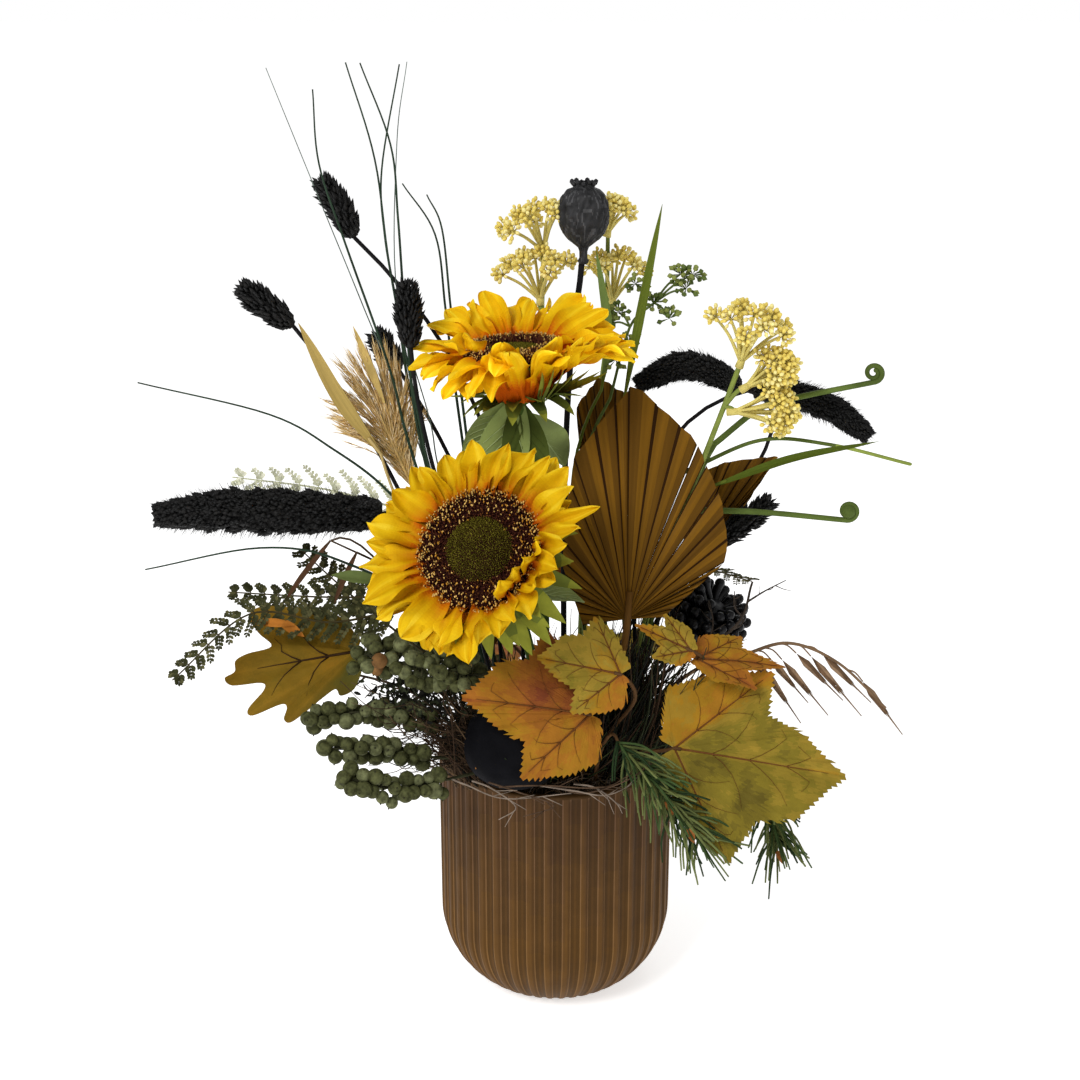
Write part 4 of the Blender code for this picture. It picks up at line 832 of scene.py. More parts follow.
# Each petal: degrees round the head, reach in disc radii, lift, curl, shade, width share.
FRONT_PETALS = (
    (93, 1.90, 0.10, -0.1, 0, 0.95), (103, 1.82, 0.18, 0.3, 0, 0.9), (113, 1.80, 0.10, -0.3, 0, 0.9),
    (123, 1.74, 0.20, 0.2, 0, 0.85), (132, 1.82, 0.05, 0.1, 0, 0.9), (143, 1.76, 0.24, 0.2, 0, 1.0),
    (153, 1.86, 0.14, 0.2, 0, 1.05), (164, 1.92, 0.22, 0.2, 0, 1.1), (174, 1.84, 0.08, -0.2, 0, 0.95),
    (183, 1.96, 0.20, 0.3, 0, 1.0), (191, 1.92, 0.05, 0.4, 0, 0.9), (199, 2.00, 0.22, 0.3, 0, 1.05),
    (208, 1.88, 0.10, 0.4, 1, 0.9), (217, 1.96, 0.28, 0.6, 0, 1.1), (228, 1.86, 0.32, 0.9, 0, 1.25),
    (241, 1.84, 0.12, 0.8, 1, 1.05), (250, 1.72, 0.32, 1.2, 0, 1.1), (263, 1.80, 0.12, 0.8, 0, 0.95),
    (273, 1.56, 0.36, 1.2, 0, 1.1), (286, 1.46, 0.34, 0.9, 1, 1.0), (297, 1.38, 0.70, 0.4, 1, 0.9),
    (309, 1.46, 0.60, 0.7, 1, 0.95), (321, 1.44, 0.9, -0.6, 1, 0.9), (333, 1.42, 0.75, 0.3, 2, 0.9),
    (345, 1.50, 0.85, 0.3, 1, 0.9), (356, 1.56, 0.60, -0.5, 1, 0.9), (8, 1.70, 0.55, -0.3, 1, 0.7),
    (17, 2.02, 0.42, -0.2, 0, 0.62), (29, 1.82, 0.36, -0.1, 1, 0.9), (38, 1.90, 0.25, 0.1, 1, 0.95),
    (47, 2.00, 0.12, 0.2, 0, 0.95), (58, 1.84, 0.16, 0.1, 0, 0.95), (68, 1.90, 0.08, 0.1, 0, 0.95),
    (80, 1.80, 0.16, 0.0, 0, 0.85), (88, 1.70, 0.04, 0.0, 1, 0.8),
    (301, 1.42, 1.35, -1.2, 2, 0.8), (318, 1.36, 1.45, -1.0, 3, 0.75), (334, 1.40, 1.40, -1.3, 3, 0.8),
    (352, 1.42, 1.2, -1.0, 1, 0.75),
    *((degrees, 1.72, 0.0, 0.25, 2, 0.95, -2.5) for degrees in range(98, 262, 12)),
    *((degrees, 1.62, 0.05, 0.25, 2, 0.9, -2.5) for degrees in range(18, 96, 12)))
FRONT_SEPALS = ((256, -0.7, 38), (268, -0.8, 42), (281, -0.9, 44), (293, -0.8, 46), (306, -0.6, 42),
                (320, -0.4, 36))


def sunflower_front():
    """The front head: it leans forward, its lower petals curl and its sepals point down."""
    node = "sunflower_front"
    chance = random.Random(node)
    facing = Vector((-0.17, -0.80, 0.57))
    seat = stand(at(-43, -95, 322), facing, Vector((1, 0, 0)))
    path = grown(node, seat @ Vector((0, 0, -12 * MM)), facing)
    petals, green = Heap(), Heap()
    petals_from(petals, seat, FRONT_PETALS, chance)
    piece("sunflower_front_petals", petals, petal_finishes(), node)
    piece("sunflower_front_disc", flower_disc(seat, chance), disc_finishes(), node)
    stem(green, path, 3.2 * MM, 1.0, 8, 2)
    bracts(green, seat, 15, chance, 33 * MM, 9 * MM, -0.45)
    bracts(green, seat, 13, chance, 28 * MM, 12 * MM, 0.35, 0.5, -9.0)
    for degrees, lift, length in FRONT_SEPALS:
        sheet(green, beside(seat, math.radians(degrees), 26 * MM, -8, 0.0, lift), length * MM, 11 * MM,
              bract_profile, 8, 4, [0, 0, 0, 5, 5, 5, 5, 5], fold=0.4, droop=0.2,
              twist=chance.uniform(-0.5, 0.5), ruffle=0.2)
    for share, direction, length in ((0.62, (-1, 0.2, 0.3), 50), (0.66, (1, -0.1, 0.2), 45)):
        cloth_leaf(green, station(path, share)[0], direction, UP, length * MM, 0.62 * length * MM, chance)
    piece("sunflower_front_green", green, green_finishes(), node)


TOP_BACK_PETALS = (
    (152, 1.62, 0.50, -0.1, 0, 0.9), (141, 1.72, 0.56, 0.0, 1, 0.95), (131, 1.76, 0.50, 0.1, 0, 0.9),
    (121, 1.82, 0.58, 0.0, 0, 0.95), (111, 1.90, 0.52, 0.1, 0, 0.9), (101, 1.88, 0.58, 0.0, 1, 0.95),
    (91, 1.92, 0.50, 0.1, 0, 0.9), (80, 1.96, 0.60, 0.0, 0, 1.0), (69, 1.94, 0.52, 0.0, 0, 1.1),
    (57, 1.98, 0.58, 0.0, 0, 1.1), (45, 1.86, 0.50, 0.1, 1, 0.95), (33, 1.88, 0.46, 0.2, 0, 0.95),
    *((degrees, 1.76, 0.30, 0.2, 1, 0.95, -4) for degrees in range(28, 160, 12)))
TOP_CUP_PETALS = ((250, 1.72, 1.10, 0.2, 2, 0.95, -25), (262, 1.84, 1.12, 0.1, 2, 1.0, -26),
                  (272, 1.92, 1.14, -0.1, 2, 1.05, -26), (283, 1.98, 1.12, 0.0, 1, 1.05, -26),
                  (294, 1.94, 1.10, -0.1, 2, 1.05, -26), (304, 1.98, 1.06, 0.0, 1, 1.0, -25),
                  (314, 1.92, 1.00, 0.1, 2, 1.0, -25), (323, 1.96, 0.92, 0.0, 1, 1.0, -24),
                  (332, 1.98, 0.84, 0.1, 2, 0.95, -22), (341, 2.02, 0.70, 0.2, 1, 0.95, -20),
                  (350, 2.06, 0.56, 0.2, 1, 0.95, -17), (359, 2.06, 0.40, 0.2, 1, 0.95, -14))
TOP_PETALS = (
    (22, 1.86, 0.34, 0.2, 0, 0.95), (11, 1.92, 0.26, 0.1, 1, 0.95), (2, 1.98, 0.18, 0.1, 0, 0.9),
    (-7, 2.00, 0.10, 0.2, 0, 0.9), (-16, 1.90, 0.24, 0.2, 1, 0.95), (-26, 1.80, 0.36, 0.1, 0, 0.95),
    (163, 1.68, 0.26, 0.1, 0, 1.0), (174, 1.72, 0.12, 0.2, 0, 1.0), (185, 1.74, -0.04, 0.1, 0, 1.0),
    (195, 1.62, -0.02, 0.4, 1, 1.0), (206, 1.60, -0.28, 0.4, 0, 1.1), (219, 1.60, -0.50, 0.5, 0, 1.1),
    (232, 1.52, -0.15, 0.4, 0, 1.1), (243, 1.50, -0.25, 0.5, 0, 1.15), (253, 1.44, -0.45, 0.5, 0, 1.1),
    (214, 1.20, 0.95, -0.3, 0, 1.1), (200, 1.30, 0.65, -0.1, 0, 1.0), (262, 1.34, 0.12, 1.3, 0, 1.05, 1),
    (338, 1.48, 0.55, 0.0, 0, 1.0),
    (14, 1.80, 0.12, 0.2, 1, 1.0, -5), (172, 1.64, 0.0, 0.3, 1, 1.0, -5), (184, 1.56, -0.1, 0.3, 1, 1.0, -5),
    (200, 1.52, -0.2, 0.3, 1, 1.0, -5), (226, 1.46, -0.3, 0.3, 1, 1.0, -5))
TOP_SEPALS = ((-47, 0.95, 30), (-40, 0.88, 34), (-33, 0.82, 34), (-26, 0.72, 36), (-19, 0.62, 38),
              (-12, 0.5, 38), (-4, 0.4, 38))
TOP_CALYX = ((21, -9), (21, -16), (17, -23), (10, -29), (3.4, -33), (0, -33))
TOP_LEAVES = ((1.0, (-0.30, -0.20, -1), 66, 3), (1.0, (-0.80, -0.05, -0.9), 50, 3),
              (0.99, (0.16, -0.30, -1), 60, 1), (0.96, (0.5, 0.8, -0.7), 60, 3),
              (0.92, (-0.8, 0.8, -0.5), 58, 3))


def sunflower_top():
    """The upper head: it faces up, with a cup of petals that hang over its front."""
    node = "sunflower_top"
    chance = random.Random(node)
    facing = Vector((-0.05, -0.02, 1))
    seat = stand(at(-25, -20, 420), facing, Vector((1, 0, 0)))
    path = grown(node, seat @ Vector((0, 0, -30 * MM)), facing)
    petals, green = Heap(), Heap()
    petals_from(petals, seat, TOP_BACK_PETALS, chance, 0.66, 15 * MM, round_petal_profile)
    petals_from(petals, seat, TOP_PETALS, chance, 0.66, 15.5 * MM, glow=1.0)
    petals_from(petals, seat, TOP_CUP_PETALS, chance, 0.56, 15 * MM, round_petal_profile, 6.0)
    # The upper head's tints are lightened 1.3 times: painted light for petals that face away from the lamps.
    piece("sunflower_top_petals", petals, petal_finishes("petal_top_painted_light", 1.3), node)
    disc = flower_disc(seat @ Matrix.Scale(0.86, 4), chance, 3.0)
    piece("sunflower_top_disc", disc, disc_finishes(), node)
    stem(green, path, 3.2 * MM, 1.0, 8, 2)
    turned(green, [(r * MM, h * MM) for r, h in TOP_CALYX], 24, seat, 1)
    bracts(green, seat, 11, chance, 28 * MM, 9 * MM, 0.12, 0.0, -26.0, 0.36)
    bracts(green, seat, 10, chance, 23 * MM, 10 * MM, -0.25, 0.5, -25.0, 0.40)
    for degrees, lift, length in TOP_SEPALS:
        sheet(green, beside(seat, math.radians(degrees), 21 * MM, -27, 0.5, lift), length * MM, 6 * MM,
              bract_profile, 8, 4, [0, 0, 0, 0, 5, 5, 5, 5], fold=0.4, curl=-0.3)
    for share, direction, length, tone in TOP_LEAVES:
        face = FRONT if direction[1] < 0.2 else UP - FRONT
        cloth_leaf(green, station(path, share)[0], direction, face, length * MM, 0.46 * length * MM, chance,
                   tone, 4 if tone == 3 else 1, 0.25)
    piece("sunflower_top_green", green, green_finishes(), node)


# ---------------------------------------------------------------- palm spears


@functools.cache
def palm_finishes():
    # The lit and shaded faces of a pleat and its dark grooves are painted light and painted shade.
    return finishes(("palm_lit", (0.170, 0.078, 0.006), 0.5, 0.22, 90, 0.35, 400, 0.0, (70, 1.2)),
                    ("palm_shade", (0.110, 0.050, 0.005), 0.6, 0.2, 90, 0.3, 400, 0.0, (70, 1.2)),
                    ("palm_groove", (0.028, 0.011, 0.002), 0.7, 0.2, 90, 0.3, 400, 0.0, (70, 1.2)),
                    ("palm_stalk", (0.13, 0.06, 0.012), 0.55, 0.2, 90, 0.3, 400, 0.0, (30, 2)))


PALM_START = 0.03
PALM_STRIP = (0.0, 0.07, 0.5, 0.93, 1.0)        # across a pleat: groove, rise, crest, fall, groove
PALM_GROOVE = 1.5 * MM
PALM_ROWS = 18
GREEN = (0.115, 0.150, 0.018)       # the stalks of the blades


def palm_spear(name, base, corner_points, face, pleats, widths=None, slits=()):
    """A dried palm leaf cut to a spear. Each pleat is a folded strip that runs from the base to the cut edge.

    widths gives the pleats' unlike breadths; slits are the pleats, counted from the first, that stand apart.
    """
    chance = random.Random(name)
    start = at(*base)
    ends = places(corner_points)
    normal = Vector(face).normalized()
    breadths = widths or [chance.uniform(0.6, 1.5) for _ in range(pleats)]
    bounds = np.concatenate([[0.0], np.cumsum(breadths)]) / sum(breadths)
    heap = Heap()
    for index, (first, last) in enumerate(zip(bounds, bounds[1:])):
        reach = chance.uniform(0.988, 1.0)
        depth = 1.7 * MM * min(1.5, (last - first) * pleats) * chance.uniform(0.8, 1.2)
        open_share = 0.16 if index in slits else 0.0
        tilt = chance.uniform(-3, 3) * MM if index in slits else 0.0
        points, uvs = [], []
        for row, place in itertools.product(range(PALM_ROWS + 1), PALM_STRIP):
            share = PALM_START + (reach - PALM_START) * row / PALM_ROWS
            inner = 0.5 + (place - 0.5) * (1 - open_share * max(0.0, share - 0.5) * 2)
            where = first + (last - first) * inner
            crest = 1 - 2 * abs(2 * place - 1)
            belly = -6 * MM * math.sin(math.pi * where) * share
            lift = (depth if crest > -1 else PALM_GROOVE) * min(1.0, 2.2 * share) * crest + belly
            lift += tilt * share ** 2 * (place - 0.5)
            points.append(start + (station(ends, where)[0] - start) * share + normal * lift)
            uvs.append((row / PALM_ROWS, (index + place) / pleats))
        # Painted light and shade: one face of each pleat lit, the other shaded, and painted shade in the
        # grooves.
        tones = np.tile([2, 0, 1, 2] if index % 3 else [2, 1, 0, 2], PALM_ROWS)
        heap.add(points, grid_faces(PALM_ROWS, 4), tones, uvs)
    middle = station(ends, 0.5)[0]
    stem(heap, grown(name, start, middle - start) + [start.lerp(middle, 0.12)], 2.4 * MM, 0.9, 8, 3)
    piece(name + "_leaf", heap, palm_finishes(), name)


# ---------------------------------------------------------------- blades, round grass and curls


def blade(name, spine, width, colour, stalk, face=(0, -1, 0.2)):
    """A grass-like blade with a crease down its middle, on its stem."""
    line, path = rooted(name, spine, 10)
    across = Vector(face).normalized()
    heap = Heap()
    rows = len(line) - 1
    points, uvs = [], []
    for index, v in itertools.product(range(rows + 1), (-1, -0.5, 0, 0.5, 1)):
        share = index / rows
        spot, heading = station(line, share)
        side = across.cross(heading).normalized()
        half = 0.5 * width * MM * strap_profile(share)
        wave = 0.25 * MM * math.sin(9 * share + 3 * v)
        points.append(spot + side * v * half + across * (wave - 0.35 * half * (1 - abs(v))))
        uvs.append((share, 0.5 + 0.5 * v))
    heap.add(points, grid_faces(rows, 4), 0, uvs)
    stem(heap, path + [line[3]], 1.2 * MM, 0.8, 6, 1)
    kind = name.replace("blade", "").strip("_")
    piece(name + "_blade", heap, [finish(kind + "_green", colour, 0.5, 0.2, streaks=(24, 1.5), bump=0.3),
                                  finish(kind + "_stalk", stalk, 0.5, 0.2, 60)], name)


CURL_STEPS = 44                     # spans of a curl at the end of a stem


def fiddlehead(name, spine, curl_radius, ball_end=False):
    """A green frond stem that ends in a tight curl."""
    line, path = rooted(name, spine, 12, 3)
    head = smooth(places(spine), 3)
    heading = (head[-1] - head[-2]).normalized()
    side = (UP - heading * heading.dot(UP)).normalized()
    centre = line[-1] + side * curl_radius * MM
    curl = []
    for step in range(1, CURL_STEPS + 1):
        angle = 1.35 * math.tau * step / CURL_STEPS
        radius = curl_radius * MM * (1 - 0.62 * step / CURL_STEPS)
        curl.append(centre + radius * (heading * math.sin(angle) - side * math.cos(angle)))
    whole = [*path, *line[1:], *curl]
    last = len(whole) - 1
    heap = Heap()
    tube(heap, whole, [(2.1 - 0.8 * index / last) * MM for index in range(last + 1)], 10, 0)
    balls(heap, [curl[-1]], (2.6 if ball_end else 1.6) * MM, 0, 2)
    if ball_end:
        balls(heap, [centre], 0.8 * curl_radius * MM, 0, 3)
    piece(name + "_frond", heap, [finish(name + "_skin", (0.090, 0.130, 0.028), 0.5, 0.35, 40, 0.3, 500)],
          name)


def round_grass():
    """A round blade that arches to the right, its tip pale."""
    name = "round_grass"
    line, path = rooted(name, ((83, 22, 337), (125, 10, 359), (165, -4, 360), (212, -16, 351)), 12)
    whole = path + line[1:]
    last = len(whole) - 1
    tones = [0 if step < 0.78 * last else 1 for step in range(last)]
    heap = Heap()
    radii = [(1.5 - 0.4 * index / last) * MM for index in range(last + 1)]
    tube(heap, whole, radii, 8, np.repeat(tones, 8), closed_ends=False)
    balls(heap, [whole[-1]], 1.1 * MM, 1)
    piece("round_grass_stalk", heap,
          finishes(("round_grass_green", (0.085, 0.120, 0.025), 0.45, 0.25, 40),
                   ("round_grass_tip", (0.24, 0.30, 0.06), 0.45, 0.2, 40)), name)


COURSE_SHIFTS = [shift * MM for shift in (0, 5, -5, 10, -10, 15, -15, 20, -20, 26, -26)]


def wiry_tuft(name, courses, foot, thin=()):
    """Thin stiff blades from one foot, each where its solid has room for it."""
    tree = solid_of(name)[1]
    ground = Vector((*(Vector(foot) * MM), FILLING_TOP))
    heap = Heap()
    stem(heap, [ground, ground + at(0, 0, 10)], 2.6 * MM, 0.7, 8, 0)
    for number, course in enumerate(courses):
        tips = places(course)

        def miss(move):
            return sum(tree.find_nearest(spot + move * FRONT)[3] for spot in tips)

        shift = min(COURSE_SHIFTS, key=miss)
        line = smooth([ground + at(0, 0, 5), *(spot + shift * FRONT for spot in tips)], 8)
        stem(heap, line, (0.6 if number in thin else 1.15) * MM, 0.4, 5, 1 if number in thin else 0)
    piece(name + "_blades", heap, finishes((name + "_dark", (0.022, 0.040, 0.024), 0.45, 0.3, 40),
                                           (name + "_grey", (0.10, 0.13, 0.11), 0.5, 0.3, 40)), name)


# ---------------------------------------------------------------- pod, umbels and bud spray


POD_PROFILE = ((0, 15.2), (3, 15.4), (6, 17.6), (7.8, 19.6), (8.0, 18.4), (6.6, 16.2), (9.4, 14.8),
               (12.6, 11.4), (14.3, 6.5), (15.0, 0.5), (14.7, -5.5), (12.6, -11.4), (9.2, -15.6),
               (5.6, -18.6), (3.4, -20.6), (2.6, -23.0), (2.5, -27.0), (3.6, -29.0), (2.6, -31.0),
               (0.0, -31.0))
POD_SIDES = 120


def poppy_pod():
    """A dried poppy head: wrinkled and ribbed, with a scalloped crown and a ring at its neck."""
    name = "poppy_pod"
    centre = at(17, 62, 490)
    neck = centre - at(0, 0, 20)
    fine = [tuple((a + (b - a) * (step / 3)) * MM for a, b in zip(before, after))
            for before, after in zip(POD_PROFILE, POD_PROFILE[1:]) for step in range(3)]
    fine.append(tuple(part * MM for part in POD_PROFILE[-1]))
    crown = 16 / len(fine)

    def swell(angles, share):
        body = (share > crown) * np.clip((0.78 - share) / 0.1, 0, 1)
        ribs = 0.06 * np.abs(np.sin(5 * angles)) * body
        scallop = 0.34 * np.abs(np.sin(6 * angles)) * np.exp(-((share - 0.17) / 0.06) ** 2)
        wrinkle = body * (0.050 * np.sin(9 * angles + 31 * share) * np.sin(4 * angles - 43 * share)
                          + 0.028 * np.sin(23 * angles + 67 * share))
        return 1 + ribs + wrinkle - scallop

    def pale(row, side):
        """Whether a face lies on one of the body's thin pale lines: painted highlights that stand for light
        on its wrinkles.
        """
        return row > 14 and abs(noise.noise(ring(side * math.tau / POD_SIDES, 3) + row / 5 * UP)) < 0.07

    heap = Heap()
    # Faces on the pale lines take the painted highlight finish.
    tones = [2 * pale(row, side) for row in range(len(fine) - 1) for side in range(POD_SIDES)]
    turned(heap, fine, POD_SIDES, Matrix.Translation(centre), tones, swell)
    balls(heap, [centre + at(0, 0, 18.6 + 1.2 * (knob % 2)) + around(UP, math.tau * knob / 13) * 7.4 * MM
                 for knob in range(13)], 1.7 * MM)
    stem(heap, grown(name, neck - at(2, 0, 22), Vector((0.15, 0, 1))) + [neck], 1.9 * MM, 1.0, 8, 1)
    piece("poppy_pod_head", heap, [
        finish("pod_charcoal", (0.020, 0.020, 0.021), 0.55, 0.6, 160, 1.0, 320, specular=0.2),
        finish("pod_stalk", (0.012, 0.012, 0.014), 0.6, 0.3, 60),
        finish("pod_ridge_highlight", (0.050, 0.050, 0.052), 0.5, 0.6, 160, 1.0, 320, specular=0.25)], name)


BUDS = 22


def umbel(name, heads, arms):
    """Branching flower heads on one stem: thick pale arms fan from each hub and end in tufts of buds."""
    chance = random.Random(name)
    first_hub, first_axis = at(*heads[0][0]), Vector(heads[0][1])
    path = grown(name, first_hub, first_axis)
    heap = Heap()
    stem(heap, path, 1.9 * MM, 0.85, 8, 2)
    for place, direction, spread, height in heads:
        hub, axis = at(*place), Vector(direction).normalized()
        if hub != first_hub:
            start = station(path, 0.88)[0]
            way = smooth([start, start.lerp(hub, 0.55) + 0.12 * (hub - start).length * UP, hub], 5)
            stem(heap, way, 1.5 * MM, 0.9, 7, 2)
        rise = axis * height * MM
        stem(heap, [hub - 0.16 * rise, hub + 0.05 * rise], 2.7 * MM, 0.8, 8, 1)
        for arm in range(arms):
            lean = math.sqrt((arm + 0.4) / arms)
            outward = around(axis, arm * GOLDEN_TURN) * lean * spread * MM
            end = hub + rise * (0.98 - 0.38 * lean * lean) + outward * 0.92
            middle = hub.lerp(end, 0.5) + 0.05 * rise
            stem(heap, smooth([hub - 0.05 * rise, middle, end], 4), 1.2 * MM, 0.7, 5, 1)
            out = (end - hub).normalized()
            start = end - out * 1 * MM
            buds = []
            for bud in range(BUDS):
                tilt = math.acos(1 - 1.45 * (bud + 0.5) / BUDS)
                ray = (out * math.cos(tilt) + around(out, bud * GOLDEN_TURN) * math.sin(tilt)).normalized()
                length = chance.uniform(4.0, 6.6) * MM
                buds.append((end + ray * length, chance.uniform(1.05, 1.4) * MM, chance.choice((0, 0, 3))))
            centres, radii, kinds = zip(*buds)
            balls(heap, centres, radii, kinds, 2, [(centre - start).normalized() * 1.4 for centre in centres])
            darts(heap, [start] * BUDS, centres, 0.45 * MM, 1, 3, 0.5)
    piece(name + "_heads", heap, finishes(("umbel_bud", (0.80, 0.64, 0.155), 0.55, 0.12, 300),
                                          ("umbel_arm", (0.66, 0.56, 0.17), 0.55, 0.15, 90),
                                          ("umbel_stem", (0.20, 0.25, 0.055), 0.5, 0.25, 50),
                                          ("umbel_bud_pale", (0.90, 0.79, 0.32), 0.55, 0.1, 300)),
          name)


def bud_spray():
    """A green sprig whose side shoots end in tufts of small long buds."""
    name = "bud_spray"
    chance = random.Random(name)
    line = places(((35, 66, 372), (47, 68, 418), (62, 66, 434)))
    clusters = places(((82, 66, 443), (40, 70, 427), (62, 66, 434), (38, 62, 398), (50, 66, 446),
                       (72, 66, 424), (86, 66, 452), (78, 66, 452), (34, 68, 420), (46, 66, 408)))
    whole = grown(name, line[0], line[1] - line[0]) + smooth(line, 6)[1:]
    heap = Heap()
    stem(heap, whole, 1.3 * MM, 0.6, 7, 0)
    for centre in clusters:
        near = (station(whole, step / 40)[0] for step in range(16, 41))
        join = min(near, key=lambda spot: (spot - centre).length)
        if (centre - join).length > 3 * MM:
            stem(heap, smooth([join, join.lerp(centre, 0.5) + at(0, 0, 2), centre], 4), 0.8 * MM, 0.8, 5, 0)
        tips = []
        for bud in range(13):
            outward = around(UP, bud * GOLDEN_TURN) * chance.uniform(0.3, 1.1)
            outward += UP * chance.uniform(-0.5, 1.0)
            tips.append(centre + outward.normalized() * chance.uniform(6.5, 11) * MM)
        darts(heap, [centre] * len(tips), tips, 0.6 * MM, 0, 4, 0.5)
        darts(heap, [centre.lerp(tip, 0.45) for tip in tips], tips, 1.8 * MM,
              [chance.choice((0, 1, 1)) for _ in tips], 7, 0.6)
    piece("bud_spray_sprig", heap, finishes(("bud_green", (0.100, 0.140, 0.035), 0.6, 0.3, 90),
                                            ("bud_light", (0.24, 0.28, 0.075), 0.6, 0.2, 90)), name)


# ---------------------------------------------------------------- spikes of seed and the plume


@functools.cache
def black_finishes():
    return [finish("seed_black", (0.0055, 0.0055, 0.0055), 0.45, 0.5, 250, 0, specular=0.2),
            finish("seed_soot", (0.014, 0.0135, 0.013), 0.6, 0.5, 250, 0, specular=0.12),
            finish("seed_stalk", (0.012, 0.011, 0.012), 0.6, 0.4, 60)]


def swollen(share):
    return 0.25 + 0.75 * math.sin(math.pi * min(1.0, 0.1 + 0.86 * share)) ** 0.7


def swollen_tube(heap, line, radius, finish):
    """The core of a spike or cone."""
    last = len(line) - 1
    tube(heap, line, [radius * swollen(index / last) for index in range(last + 1)], 12, finish)


def seed_spike(name, spine, radius, scales, scale_length, thick=1.5, lean=0.46, bristles=0):
    """A dense spike of seed: scales stand out of a core and point to its tip, with bristles between them."""
    chance = random.Random(name)
    line, path = rooted(name, spine, 12)
    heap = Heap()
    swollen_tube(heap, line, radius * MM * 0.62, 1)
    coat = []
    for index in range(scales):
        share = (index + 0.5) / scales
        place, heading = station(line, share)
        side = around(heading, index * GOLDEN_TURN + chance.uniform(-0.2, 0.2))
        lump = 1 + 0.26 * noise.noise(place * 120 + side * 1.6) + 0.16 * noise.noise(place * 300 + side * 4)
        root = place + side * (radius * MM * swollen(share) * lump) * 0.58
        length = scale_length * MM * chance.uniform(0.75, 1.1) * (0.6 + 0.4 * swollen(share))
        way = heading * (1 - lean) + side * lean + around(heading, index) * 0.1
        coat.append((root, root + way.normalized() * length, thick * MM * chance.uniform(0.7, 1.1),
                     chance.choice((0, 0, 1))))
    darts(heap, *zip(*coat), 4, 0.42)
    hairs = []
    for index, _, place, heading, side in spiral(line, bristles, turn=GOLDEN_TURN * 1.7):
        out = radius * MM * swollen(index / bristles)
        hairs.append((place + side * out * 0.6, place + side * out * chance.uniform(1.05, 1.28)
                      + heading * chance.uniform(2, 7) * MM))
    if hairs:
        darts(heap, *zip(*hairs), 0.16 * MM, 0, 3, 0.2)
    stem(heap, path + [line[4]], 1.4 * MM, 0.9, 7, 2)
    piece(name + "_head", heap, black_finishes(), name)


PLUME_TIPS = ((-127, 10, 440), (-136, 5, 416), (-148, 0, 392), (-134, 0, 368), (-118, 8, 432),
              (-104, 14, 424), (-90, 16, 400), (-82, 16, 372))
STRANDS, BUNDLES = 180, 15


def plume():
    """A feathery plume: fine strands fan out wide from a thin spine, each with short hairs along it."""
    name = "pampas_plume"
    chance = random.Random(name)
    line, path = rooted(name, ((-88, 14, 325), (-102, 8, 362), (-114, 2, 396)), 12, 3)
    heap = Heap()
    stem(heap, path + line[1:18], 1.6 * MM, 0.3, 6, 0)
    tips = places(PLUME_TIPS)
    for index in range(STRANDS):
        start = line[int((0.02 + 0.5 * chance.random()) * (len(line) - 1))]
        spot = (index * 7 % BUNDLES + chance.uniform(-0.2, 0.2)) / (BUNDLES - 1) * (len(tips) - 1)
        spot = min(max(spot, 0.0), len(tips) - 1.001)
        low = min(int(spot), len(tips) - 2)
        tip = tips[low].lerp(tips[low + 1], spot - low) + at(0, chance.uniform(-9, 9), 0)
        tip = start.lerp(tip, (0.80 + 0.2 * (index * 13 % BUNDLES) / BUNDLES) * chance.uniform(0.84, 1.0))
        bow = start.lerp(tip, 0.5) + 0.10 * (tip - start).length * UP
        branch = smooth([start, bow, tip], 6)
        stem(heap, branch, 0.5 * MM, 0.45, 3, chance.choice((0, 0, 1)))
        hairs = []
        for hair in range(18):
            place, way = station(branch, 0.12 + 0.88 * hair / 18)
            lean = way + around(way, hair * GOLDEN_TURN) * chance.uniform(0.04, 0.22)
            hairs.append((place, place + lean.normalized() * chance.uniform(7, 14) * MM))
        darts(heap, *zip(*hairs), 0.30 * MM, [chance.choice((0, 0, 1, 1, 1, 2)) for _ in hairs], 3, 0.3)
    foot, tip = places(((-104, 3, 384), (-121, 3, 432)))
    sheet(heap, lay(foot, tip - foot, FRONT), (tip - foot).length, 5 * MM, strap_profile, 12, 4, 3, fold=0.3,
          droop=-0.15)
    piece("pampas_plume_hairs", heap,
          finishes(("plume_tan", (0.68, 0.46, 0.17), 0.8, 0.2, 90, 0),
                   ("plume_beige", (0.86, 0.67, 0.38), 0.8, 0.15, 90, 0),
                   ("plume_brown", (0.46, 0.27, 0.09), 0.8, 0.2, 90, 0),
                   ("plume_husk", (0.52, 0.37, 0.12), 0.7, 0.2, 90, 0.2)), name)


# ---------------------------------------------------------------- ferns


